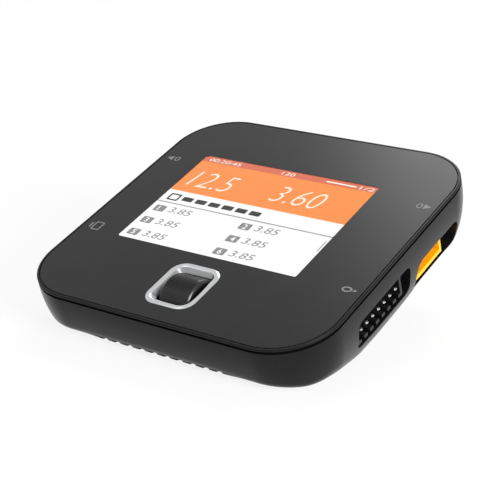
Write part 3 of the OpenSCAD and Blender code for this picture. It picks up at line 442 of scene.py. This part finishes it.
# On the smooth outside the exact direction of the surface gives cleaner shading than the triangles do
on_bowl = np.abs(smooth_bowl(points)) < ON_BOWL
outward = growth(points)
outward /= np.maximum(np.linalg.norm(outward, axis=1), TINY)[:, None]
normals = [(0, 0, 0)] * len(mesh.loops)
for face in mesh.polygons:
    for loop in face.loop_indices:
        corner = mesh.loops[loop].vertex_index
        if on_bowl[corner] and Vector(outward[corner]).dot(face.normal) > FACING:
            normals[loop] = tuple(outward[corner])
mesh.normals_split_custom_set(normals)
mesh.transform(panel_mm)
mesh.materials.append(moulded_abs)
print("exact directions on", int(on_bowl.sum()), "points")

# %% Put the copy in the shell's place


def join_case(name, mesh, replaced=None):
    """A new piece that moves with the case and, if a CAD node is named, stands for it."""
    piece = bpy.data.objects.new(name, mesh)
    scene.collection.objects.link(piece)
    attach(piece, "case")
    if replaced:
        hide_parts(replaced)
    return piece


bowl = join_case("bottom_bowl", mesh, "bottom_shell")
print(bowl.name, "stands for bottom_shell")

# %% [markdown]
# ## Chrome ring and thumb wheel
# The ring round the wheel is chromed plastic, a mirror that takes its grey from what stands round it.
# A grey paint would match one view only, while a metal shader finds its tones in the studio from all sides.
# Only the funnel inside the ring has a darker chrome colour, as painted shade.
# The wheel is glossy black plastic with fine ribs, which the CAD model holds as real geometry.

# %% Dress the wheel
# Chrome reflects a little over half of the light, evenly over the colours
chrome = surface("bright_chrome_plate", "C2C3C4", "C8C9CA", grain_mm=1.5, depth_mm=0.0002,
                 rough=(0.06, 0.1), shader={"Metallic": 1.0})
# Inside the ring the funnel is rougher, so it spreads the light of the lamps, and its colour is darker
# than the lip's: painted shade that stands in for the darker reflections in the funnel
chrome_painted_shade = surface("chrome_plate_painted_shade", "949596", "9E9FA0", grain_mm=0.6, depth_mm=0.001,
                      rough=(0.24, 0.32), shader={"Metallic": 1.0})
# Polished black acetal: wet-looking highlights on a near-black body
wheel_black = surface("polished_black_acetal", "0E0E0E", "141414", grain_mm=0.4, depth_mm=0.001,
                      rough=(0.22, 0.3), shader={"IOR": 1.48})
dress(chrome, "wheel_bezel")
dress(wheel_black, "thumb_wheel")
print("ring and wheel dressed")

# %% [markdown]
# ## Sockets
# The power sockets are yellow nylon with gold-plated contacts, and the balance header is black nylon with
# tinned square pins. Nylon is slightly waxy. Light that goes a little way in could be traced, but at this
# size a soft highlight over an even colour looks the same and renders faster.

# %% Dress the sockets
# Yellow nylon: an even warm colour with a soft waxy highlight
yellow_nylon = surface("yellow_nylon", "F4A800", "FCB800", grain_mm=0.5, depth_mm=0.003,
                       rough=(0.38, 0.46), shader={"IOR": 1.53})
# Black nylon: the same waxy skin, so dark that only its edges catch light
black_nylon = surface("black_nylon", "0B0B0B", "111111", grain_mm=0.3, depth_mm=0.003,
                      rough=(0.4, 0.5), shader={"IOR": 1.53})
# Gold over brass turns light yellow, tin stays white and slightly dull
gold_plate = surface("gold_plated_brass", "D8B25A", "E3C070", grain_mm=0.6, depth_mm=0.001,
                     rough=(0.16, 0.24), shader={"Metallic": 1.0})
tin_plate = surface("tinned_copper", "DADAD6", "E6E6E2", grain_mm=0.3, depth_mm=0.001,
                    rough=(0.22, 0.32), shader={"Metallic": 1.0})
# Plated steel sheet: a grey mirror that the press tool has blurred
stamped_steel = surface("stamped_plated_steel", "A8A9AA", "B6B7B8", grain_mm=0.4, depth_mm=0.002,
                        rough=(0.24, 0.36), shader={"Metallic": 1.0})
dress(yellow_nylon, "output_socket", "input_socket")
dress(gold_plate, "output_pins", "input_pins")
dress(black_nylon, "balance_header", "usb_tongue", "wheel_cradle", "encoder_body", "tact_switch",
      "key_connector", "fan_frame", "fan_rotor")
dress(tin_plate, "balance_pins")
dress(stamped_steel, "usb_shell", "lcd_frame", "wheel_axle", "fan_shaft", "case_screws", "board_screws",
      "key_screws")
print("sockets and steel parts dressed")

# %% [markdown]
# ## The shrouds' rims
# Each power socket's rim lies a little way back in its port, so that the port's lower edge shows as a dark
# line under it. Moving the whole socket would take it off its contacts. So only the rim goes half a
# millimetre deeper, on a copy that stands for the socket.

# %% Set the shrouds back
RIM_BACK = 0.5 * MM
for node, side in (("output_socket", 1), ("input_socket", -1)):
    mesh = frame["nodes"][node].data.copy()
    rim_x = max(side * vertex.co.x for vertex in mesh.vertices)
    for vertex in mesh.vertices:
        if side * vertex.co.x > rim_x - RIM_BACK:
            vertex.co.x -= side * RIM_BACK
    join_case(node + "_set_back", mesh, node)
    print(node, "rim at", round((rim_x - RIM_BACK) / MM, 2), "mm")

# %% [markdown]
# ## Feet and the works inside
# The feet are moulded rubber. Inside, the boards are green laminate, the chips black epoxy, the sink and
# the capacitor cans aluminium, and the display's ribbon amber polyimide film. They only show through the
# slots and ports, or when someone takes the part apart, so the one recipe is enough for all of them.

# %% Dress the rest
# Rubber swallows light and shows no highlight, foam is a dead rough black
rubber = surface("moulded_rubber", "0D0D0D", "131313", grain_mm=0.5, depth_mm=0.01,
                 rough=(0.75, 0.85), shader={"IOR": 1.52})
foam = surface("closed_cell_foam", "0C0C0C", "161616", grain_mm=0.4, depth_mm=0.03,
               rough=(0.85, 0.95), shader={"IOR": 1.4})
# Undyed nylon is a warm waxy white
white_nylon = surface("natural_nylon", "DED8C4", "E8E2D0", grain_mm=0.5, depth_mm=0.003,
                      rough=(0.4, 0.5), shader={"IOR": 1.53})
# Lacquer on glass laminate: deep green under a clear highlight
solder_mask = surface("green_solder_mask", "123E22", "184C2B", grain_mm=1.2, depth_mm=0.004,
                      rough=(0.25, 0.35), shader={"IOR": 1.55})
# Moulded epoxy is a dry dark grey, extruded aluminium a pale grey with wide soft highlights
epoxy = surface("moulded_epoxy", "141414", "1C1C1C", grain_mm=0.3, depth_mm=0.004,
                rough=(0.5, 0.6), shader={"IOR": 1.55})
aluminium = surface("extruded_aluminium", "C4C6C8", "D0D2D4", grain_mm=0.4, depth_mm=0.002,
                    rough=(0.3, 0.42), shader={"Metallic": 1.0})
# Polyimide film is a glossy amber, the silicone pad a chalky blue grey
polyimide = surface("polyimide_film", "A85F18", "C07A26", grain_mm=0.8, depth_mm=0.001,
                    rough=(0.2, 0.3), shader={"IOR": 1.7})
silicone = surface("silicone_pad", "8C96A6", "98A2B2", grain_mm=0.5, depth_mm=0.01,
                   rough=(0.6, 0.7), shader={"IOR": 1.41})
# Enamelled wire: red-brown metal that its lacquer makes a little darker
copper = surface("enamelled_copper", "9A4A22", "B25C2C", grain_mm=0.3, depth_mm=0.01,
                 rough=(0.25, 0.35), shader={"Metallic": 1.0})
dress(rubber, "rubber_feet")
dress(foam, "screen_gasket")
dress(white_nylon, "switch_plunger", "flex_connector")
dress(solder_mask, "main_board", "key_board")
dress(epoxy, "controller_chip", "power_transistors", "balance_resistors", "power_inductors", "buzzer")
dress(aluminium, "heat_sink", "capacitors")
dress(polyimide, "lcd_flex")
dress(silicone, "thermal_pad")
dress(copper, "fan_stator")
print(len(bpy.data.materials), "materials")

# %% [markdown]
# ## The lit display
# A display shines by itself, so its surface is mostly emission: white where nothing is drawn, and not quite
# even, because the backlight isn't. Over it lies a clear window. The picture could be one image on the
# display, but thin pieces that lie on it, just under the window, stay sharp at any distance.

# %% Make the display's materials
# Each colour is the backlight seen through a filter, so it takes no shade and looks the same from all sides.
# The backlight's unevenness runs over about 15 mm and is only a few per cent
DRIFT_MM = 15.0
DRIFT = 0.03


def glowing(name, hex_colour):
    """Light from the backlight through one colour of the display."""
    made, tree, output, place = start(name)
    drift = add(tree, "ShaderNodeTexNoise", {"Scale": per_metre(DRIFT_MM), "Detail": 0.0},
                {"Vector": place})
    level = add(tree, "ShaderNodeMapRange", {"To Min": 1 - DRIFT, "To Max": 1 + DRIFT},
                {"Value": drift.outputs["Fac"]})
    lit = add(tree, "ShaderNodeBsdfPrincipled",
              {"Base Color": (0.01, 0.01, 0.01, 1), "Roughness": 0.5, "Specular IOR Level": 0.0,
               "Emission Color": linear(hex_colour)},
              {"Emission Strength": level.outputs["Result"]})
    tree.links.new(lit.outputs["BSDF"], output.inputs["Surface"])
    return made


screen_white = glowing("display_white", "FFFFFF")
screen_warm_white = glowing("display_warm_white", "FFF8E8")
screen_orange = glowing("display_orange", "FF9242")
screen_red = glowing("display_red", "DF6E50")
screen_grey = glowing("display_grey", "8C8C8C")
screen_pale_grey = glowing("display_pale_grey", "8E8E8E")
screen_black = glowing("display_black", "2A2A2A")
dress(screen_white, "lcd_panel")
print("display lit to within", round(100 * DRIFT), "per cent")

# %% Make the window
# Clear acrylic, polished on both faces. Its coat against glare is so good that it mirrors almost nothing,
# so its IOR is set far under the 1.49 of bare acrylic. Smears of about 9 mm blur it a little here and there
SMEAR_MM = 9.0
MOST_HAZE = 0.03
made, tree, output, place = start("clear_acrylic")
smear = add(tree, "ShaderNodeTexNoise", {"Scale": per_metre(SMEAR_MM), "Detail": 2.0}, {"Vector": place})
haze = add(tree, "ShaderNodeMapRange", {"To Min": 0.0, "To Max": MOST_HAZE},
           {"Value": smear.outputs["Fac"]})
clear = add(tree, "ShaderNodeBsdfPrincipled",
            {"Base Color": (1, 1, 1, 1), "Transmission Weight": 1.0, "IOR": 1.18},
            {"Roughness": haze.outputs["Result"]})
tree.links.new(clear.outputs["BSDF"], output.inputs["Surface"])
dress(made, "screen_window")
print("display and window dressed")

# %% [markdown]
# ## Flat shapes
# What the display shows and what is printed on the panel are flat shapes. Each shape is a list of points
# and faces in panel millimetres, and one function turns any number of them into one thin closed piece.
# Numbers come from Blender's built-in typeface: a text object is turned into a mesh, scaled to the height
# that is wanted and slanted. Left as text they would keep their own size and couldn't join other shapes.

# %% Helpers for outlines


def polygon(points):
    return list(points), [list(range(len(points)))]


def tile(x0, y0, x1, y1, r=0.0, steps=5):
    """A rectangle, with round corners if r is given."""
    if r == 0:
        return polygon([(x0, y0), (x1, y0), (x1, y1), (x0, y1)])
    centres = [(x1 - r, y1 - r, 0), (x0 + r, y1 - r, 90), (x0 + r, y0 + r, 180), (x1 - r, y0 + r, 270)]
    points = []
    for x, y, first in centres:
        for step in range(steps + 1):
            a = math.radians(first + 90 * step / steps)
            points.append((x + r * math.cos(a), y + r * math.sin(a)))
    return polygon(points)


def band(outer, inner):
    """The strip between two outlines of as many points each."""
    count = len(outer)
    faces = [[i, (i + 1) % count, count + (i + 1) % count, count + i] for i in range(count)]
    return outer + inner, faces


def circle(rx, ry, steps=32):
    """An outline about the origin, an ellipse where the two radii differ."""
    turns = [2 * math.pi * i / steps for i in range(steps)]
    return [(rx * math.cos(a), ry * math.sin(a)) for a in turns]


def turned(shape, angle, x, y):
    """A shape turned about the origin and moved to x, y."""
    c, s = math.cos(math.radians(angle)), math.sin(math.radians(angle))
    points, faces = shape
    return [(x + c * px - s * py, y + s * px + c * py) for px, py in points], faces


print("a round tile has", len(tile(0, 0, 2, 1, r=0.3)[0]), "points")

# %% Turn numbers into shapes


def numerals(text, height, x, y, slant=0.0, width=None, thin=0.0):
    """Plain numbers with their lower left corner at x, y, squeezed to a width if one is given."""
    letters = bpy.data.curves.new("numerals", "FONT")
    letters.body = text
    letters.offset = -thin
    letters.resolution_u = 6
    holder = bpy.data.objects.new("numerals", letters)
    scene.collection.objects.link(holder)
    bpy.context.view_layer.update()
    drawn = holder.evaluated_get(bpy.context.evaluated_depsgraph_get())
    mesh = bpy.data.meshes.new_from_object(drawn)
    low = Vector(min(v.co[i] for v in mesh.vertices) for i in range(3))
    high = Vector(max(v.co[i] for v in mesh.vertices) for i in range(3))
    tall = height / (high.y - low.y)
    wide = (width - slant * height) / (high.x - low.x) if width else tall
    points = [((v.co.x - low.x) * wide + slant * (v.co.y - low.y) * tall + x, (v.co.y - low.y) * tall + y)
              for v in mesh.vertices]
    faces = [list(face.vertices) for face in mesh.polygons]
    bpy.data.objects.remove(holder)
    bpy.data.curves.remove(letters)
    bpy.data.meshes.remove(mesh)
    return points, faces


print("the number 8 has", len(numerals("8", height=1.0, x=0.0, y=0.0)[0]), "points")

# %% Make a thin piece of shapes
JOINED = 1e-5


def flat_piece(name, shapes, low, thickness, finish):
    """One thin closed piece on the panel's slope, from flat shapes in panel millimetres."""
    build = bmesh.new()
    for points, faces in shapes:
        corners = [build.verts.new((x, y, low)) for x, y in points]
        for face in faces:
            build.faces.new([corners[i] for i in face])
    bmesh.ops.remove_doubles(build, verts=build.verts, dist=JOINED)
    lifted = bmesh.ops.extrude_face_region(build, geom=list(build.faces))
    moved = [part for part in lifted["geom"] if isinstance(part, bmesh.types.BMVert)]
    bmesh.ops.translate(build, verts=moved, vec=(0, 0, thickness))
    bmesh.ops.recalc_face_normals(build, faces=build.faces)
    mesh = bpy.data.meshes.new(name)
    build.to_mesh(mesh)
    build.free()
    mesh.transform(panel_mm)
    mesh.materials.append(finish)
    return join_case(name, mesh)


print("points nearer than", JOINED, "mm are joined")

# %% [markdown]
# ## The picture on the display
# The upper part is an orange field with two large numbers under a red strip, the lower part a white list
# of six numbered cells, with a bar of filled segments between them. Each colour is one piece. A material
# with all the colours in it would need masks for every number, while pieces can be moved by their sizes.

# %% Draw the orange field
LAYER = 0.012
ORANGE_FRONT = 6.1
RED_FRONT = 19.65
SLANT = 0.18
STRIP_SLANT = 0.1
THIN = 0.018
# The picture runs a little way under the edge of the panel's opening, so no bare strip shows there
UNDER = 0.25
display_z = panel_box("lcd_panel")[1].z
left, right, back = screen_low.x, screen_high.x, screen_high.y


def show(name, shapes, finish, layer=0):
    """A piece of the picture, on the display itself or a layer higher."""
    return flat_piece(name, shapes, display_z + layer * LAYER, LAYER, finish)


show("screen_orange_field", [tile(left - UNDER, ORANGE_FRONT, right + UNDER, RED_FRONT)], screen_orange)
show("screen_red_strip", [tile(left - UNDER, RED_FRONT, right + UNDER, back + UNDER)], screen_red)
white = [
    numerals("12.5", height=6.6, x=-25.1, y=8.8, slant=SLANT, width=12.8, thin=THIN),
    numerals("3.60", height=6.4, x=-1.3, y=9.3, slant=SLANT, width=14.0, thin=THIN),
    numerals("00:20:45", height=1.35, x=-25.8, y=20.05, slant=STRIP_SLANT, width=9.5),
    numerals("120", height=1.35, x=-4.3, y=20.05, slant=STRIP_SLANT, width=3.7),
    tile(8.2, 20.45, 16.4, 20.95, r=0.2),
    numerals("1/2", height=1.4, x=17.3, y=20.0, slant=STRIP_SLANT, width=4.0),
]
show("screen_white_numbers", white, screen_warm_white, layer=1)
print("orange field drawn with", len(white), "white shapes")

# %% Draw the bar
SEGMENTS = 6
SEGMENT_STEP = 3.9
frame_outer = tile(left + 1.3, 1.9, left + 4.5, 4.7, r=0.4)[0]
frame_inner = tile(left + 1.8, 2.4, left + 4.0, 4.2, r=0.2)[0]
dark = [band(frame_outer, frame_inner)]
for i in range(SEGMENTS):
    dark.append(tile(left + 5.4 + SEGMENT_STEP * i, 2.5, left + 8.4 + SEGMENT_STEP * i, 4.2, r=0.3))
show("screen_progress_bar", dark, screen_black)
print("bar drawn", len(dark), "shapes")

# %% Draw the cells
CELL_ROWS = 3
CELL_STEP = 5.15
CELL_TOP = -3.15
RIGHT_COLUMN = -1.45
BOLD = -0.012
DIVIDER_Y = 0.88
DIVIDER_HALF = 0.17
cell_tiles = []
cell_marks = []
cell_values = []
for column, x in enumerate((left + 1.0, RIGHT_COLUMN)):
    for row in range(CELL_ROWS):
        y = CELL_TOP - CELL_STEP * row
        cell_tiles.append(tile(x - 0.1, y, x + 2.95, y + 2.45, r=0.35))
        number = str(2 * row + column + 1)
        cell_marks.append(numerals(number, height=1.7, x=x + 0.9, y=y + 0.38, thin=BOLD))
        cell_values.append(numerals("3.85", height=2.2, x=x + 4.1, y=y + 0.4, slant=SLANT, width=6.5))
divider = [tile(left, DIVIDER_Y - DIVIDER_HALF, right, DIVIDER_Y + DIVIDER_HALF)]
scroll = [tile(right - 1.0, -5.0, right - 0.75, -0.9)]
show("screen_cell_tiles", cell_tiles + divider, screen_grey)
show("screen_cell_marks", cell_marks, screen_white, layer=1)
show("screen_cell_values", cell_values + scroll, screen_pale_grey)
print("picture drawn", len(cell_values), "cells")

# %% [markdown]
# ## Marks on the panel
# Small grey symbols tell what is plugged in where: an arrow by each power socket, a computer by the USB
# socket and a plug by the balance header. They are pad-printed ink, a film of about 0.02 mm. A mask in the
# panel's material could show them as well, but a thin piece keeps its edge sharp and can be left out.

# %% Print the marks
INK_T = 0.02
# Pad-printed ink: a matt mid grey, a little uneven
printed_ink = surface("pad_printed_ink", "6A6A6A", "767676", grain_mm=0.5, depth_mm=0.002,
                      rough=(0.5, 0.6), shader={"IOR": 1.5})
arrow = polygon([(1.1, 0), (-0.7, 0.95), (-0.7, -0.95)])
ring = band(circle(0.75, 0.95), circle(0.45, 0.65))
plug_body = band(circle(1.25, 0.9), circle(0.8, 0.5))
plug_tip = polygon([(0.6, 0), (-0.3, 0.45), (-0.3, -0.45)])
computer_screen = band(tile(-1.6, -1.2, 1.6, 1.2, r=0.3)[0], tile(-1.25, -0.85, 1.25, 0.85, r=0.15)[0])
computer_foot = tile(-0.9, -0.25, 0.9, 0.25)
marks = [
    turned(arrow, 180, -36.0, 18.0),
    turned(ring, 0, -34.0, 18.0),
    turned(arrow, 0, 36.2, 17.8),
    turned(ring, 0, 34.4, 17.8),
    turned(plug_body, 0, 34.75, -15.15),
    turned(plug_tip, 0, 36.6, -15.15),
    turned(computer_screen, 90, -34.6, -13.6),
    turned(computer_foot, 90, -36.5, -13.6),
]
flat_piece("panel_marks", marks, 0.0, INK_T, printed_ink)
print("marks printed", len(marks))

# %% [markdown]
# ## The ring's funnel
# Seen close up, the ring round the wheel has a low round lip, wider on the left, and inner sides that
# slope down to the wheel like a funnel. The CAD ring has upright inner sides, so a finer ring stands for
# it. It is made of closed loops, each a rectangle with round corners at its own depth, and the loops are
# joined one to the next: up the outside, over the lip, down the funnel and back under. Subdivision would
# round the lip too, but loops set each radius exactly.

# %% Lay out the ring's loops
FLANGE_W = 0.6
FLANGE_T = 0.6
FLANGE_R = 3.9
BODY_R = 3.3
LIP_W = 1.4
LIP_LEFT = 0.9
LIP_OVER = 0.05
LIP_H = 0.25
REST = 0.01
FUNNEL_Z = -1.0
FUNNEL_IN = 0.75
FUNNEL_FOOT = 0.3
THROAT_R = 1.2
OPENING_R = 1.9
# The lip's round section: how far in from its edge, the corners' radius there, and the height
LIP_SECTION = ((0.0, 3.6, REST), (0.12, 3.5, 0.6 * LIP_H), (0.4, 3.2, LIP_H),
               (0.9, 2.7, LIP_H), (1.2, 2.4, 0.6 * LIP_H), (1.35, 2.2, 0.0))


def inset(box, at_left, elsewhere):
    return box[0] + at_left, box[1] + elsewhere, box[2] - elsewhere, box[3] - elsewhere


ring_low, ring_high = panel_box("wheel_bezel")
flange = (ring_low.x, ring_low.y, ring_high.x, ring_high.y)
body = inset(flange, FLANGE_W, FLANGE_W)
lip = inset(body, -LIP_LEFT, -LIP_OVER)
opening = inset(body, LIP_W, LIP_W)
throat = (opening[0], opening[1] + FUNNEL_IN, opening[2], opening[3] - FUNNEL_IN)
ledge = ring_low.z + FLANGE_T
loops = [(flange, FLANGE_R, ring_low.z), (flange, FLANGE_R, ledge),
         (body, BODY_R, ledge), (body, BODY_R, REST)]
loops += [(inset(lip, way_in, way_in), r, z) for way_in, r, z in LIP_SECTION]
funnel_row = len(loops) - 1
loops += [(throat, THROAT_R, FUNNEL_Z), (opening, OPENING_R, FUNNEL_Z - FUNNEL_FOOT),
          (opening, OPENING_R, ring_low.z)]
print("ring of", len(loops), "loops, its lip", [round(v, 2) for v in lip])

# %% Shape the ring
ROUND_STEPS = 12
RING_SHARP = math.radians(42)
build = bmesh.new()
rows = [[build.verts.new((x, y, z)) for x, y in tile(*box, r, ROUND_STEPS)[0]] for box, r, z in loops]
for number, (row, after) in enumerate(zip(rows, rows[1:] + rows[:1])):
    for i in range(len(row)):
        j = (i + 1) % len(row)
        face = build.faces.new((row[i], row[j], after[j], after[i]))
        # The funnel's row of faces takes the darker chrome, whose colour is painted shade
        face.material_index = int(number == funnel_row)
bmesh.ops.recalc_face_normals(build, faces=build.faces)
mesh = bpy.data.meshes.new("funnel_ring")
build.to_mesh(mesh)
build.free()
mesh.shade_smooth()
mesh.set_sharp_from_angle(angle=RING_SHARP)
mesh.transform(panel_mm)
mesh.materials.append(chrome)
mesh.materials.append(chrome_painted_shade)
join_case("funnel_ring", mesh, "wheel_bezel")
print("ring of", len(mesh.polygons), "faces")

# %% [markdown]
# ## Studio
# The floor is white and so is the world behind it for whatever looks straight at them or mirrors them,
# which gives the plain white page. The light that reaches the object is softer: a dim even world, a wide
# panel above and behind that runs over the face panel as a sheen, a fill from the right and a faint one
# from above. A brighter world alone would make the page white too, but it would wash out the black.

# %% Build the floor
# White paper: it takes a soft shadow from the object and is otherwise as white as the page
FLOOR_HALF = 3.0
PAGE_SHARE = 0.86


def in_view(tree):
    """One for rays that see a surface straight or in a mirror, zero for its light on the object."""
    seen = add(tree, "ShaderNodeLightPath")
    mirrored = add(tree, "ShaderNodeMath", None,
                   {0: seen.outputs["Is Glossy Ray"], 1: seen.outputs["Is Transmission Ray"]},
                   operation="MAXIMUM")
    direct = add(tree, "ShaderNodeMath", None,
                 {0: seen.outputs["Is Camera Ray"], 1: mirrored.outputs["Value"]}, operation="MAXIMUM")
    return direct.outputs["Value"]


corners = [(x * FLOOR_HALF, y * FLOOR_HALF, 0) for x, y in ((-1, -1), (1, -1), (1, 1), (-1, 1))]
floor_mesh = bpy.data.meshes.new("studio_floor")
floor_mesh.from_pydata(corners, [], [(0, 1, 2, 3)])
floor = bpy.data.objects.new("studio_floor", floor_mesh)
scene.collection.objects.link(floor)
paper, tree, output, place = start("white_paper")
shade = add(tree, "ShaderNodeBsdfDiffuse", {"Color": linear("F2F2F2")})
bright = add(tree, "ShaderNodeEmission", {"Color": (1, 1, 1, 1), "Strength": 1.0})
page = add(tree, "ShaderNodeMath", {1: PAGE_SHARE}, {0: in_view(tree)}, operation="MULTIPLY")
mixed = add(tree, "ShaderNodeMixShader", None,
            {0: page.outputs["Value"], 1: shade.outputs["BSDF"], 2: bright.outputs["Emission"]})
tree.links.new(mixed.outputs["Shader"], output.inputs["Surface"])
floor_mesh.materials.append(paper)
print("floor", 2 * FLOOR_HALF, "m wide")

# %% Light the world
WORLD_LIGHT = 0.5
PAGE_LIGHT = 1.0
world = bpy.data.worlds.new("studio_world")
scene.world = world
world.use_nodes = True
tree = world.node_tree
tree.nodes.clear()
output = add(tree, "ShaderNodeOutputWorld")
strength = add(tree, "ShaderNodeMapRange", {"To Min": WORLD_LIGHT, "To Max": PAGE_LIGHT},
               {"Value": in_view(tree)})
sky = add(tree, "ShaderNodeBackground", {"Color": (1, 1, 1, 1)}, {"Strength": strength.outputs["Result"]})
tree.links.new(sky.outputs["Background"], output.inputs["Surface"])
print("world at", WORLD_LIGHT, "for the object and", PAGE_LIGHT, "for the page")

# %% Set up the lamps
MIDDLE = Vector((0, 0, 0.015))


def softbox(name, place, width, height, power):
    """A flat lamp that faces the middle of the object."""
    lamp = bpy.data.lights.new(name, "AREA")
    lamp.shape = "RECTANGLE"
    lamp.size = width
    lamp.size_y = height
    lamp.energy = power
    holder = bpy.data.objects.new(name, lamp)
    holder.location = place
    holder.rotation_mode = "QUATERNION"
    holder.rotation_quaternion = (MIDDLE - Vector(place)).to_track_quat("-Z", "Y")
    scene.collection.objects.link(holder)
    print(name, power, "W")


softbox("sheen_panel", (-0.15, 0.585, 0.55), width=0.5, height=0.33, power=2.6)
softbox("right_fill", (0.58, -0.16, 0.26), width=0.3, height=0.3, power=5.5)
softbox("top_fill", (-0.2, -0.35, 0.6), width=0.4, height=0.4, power=0.4)
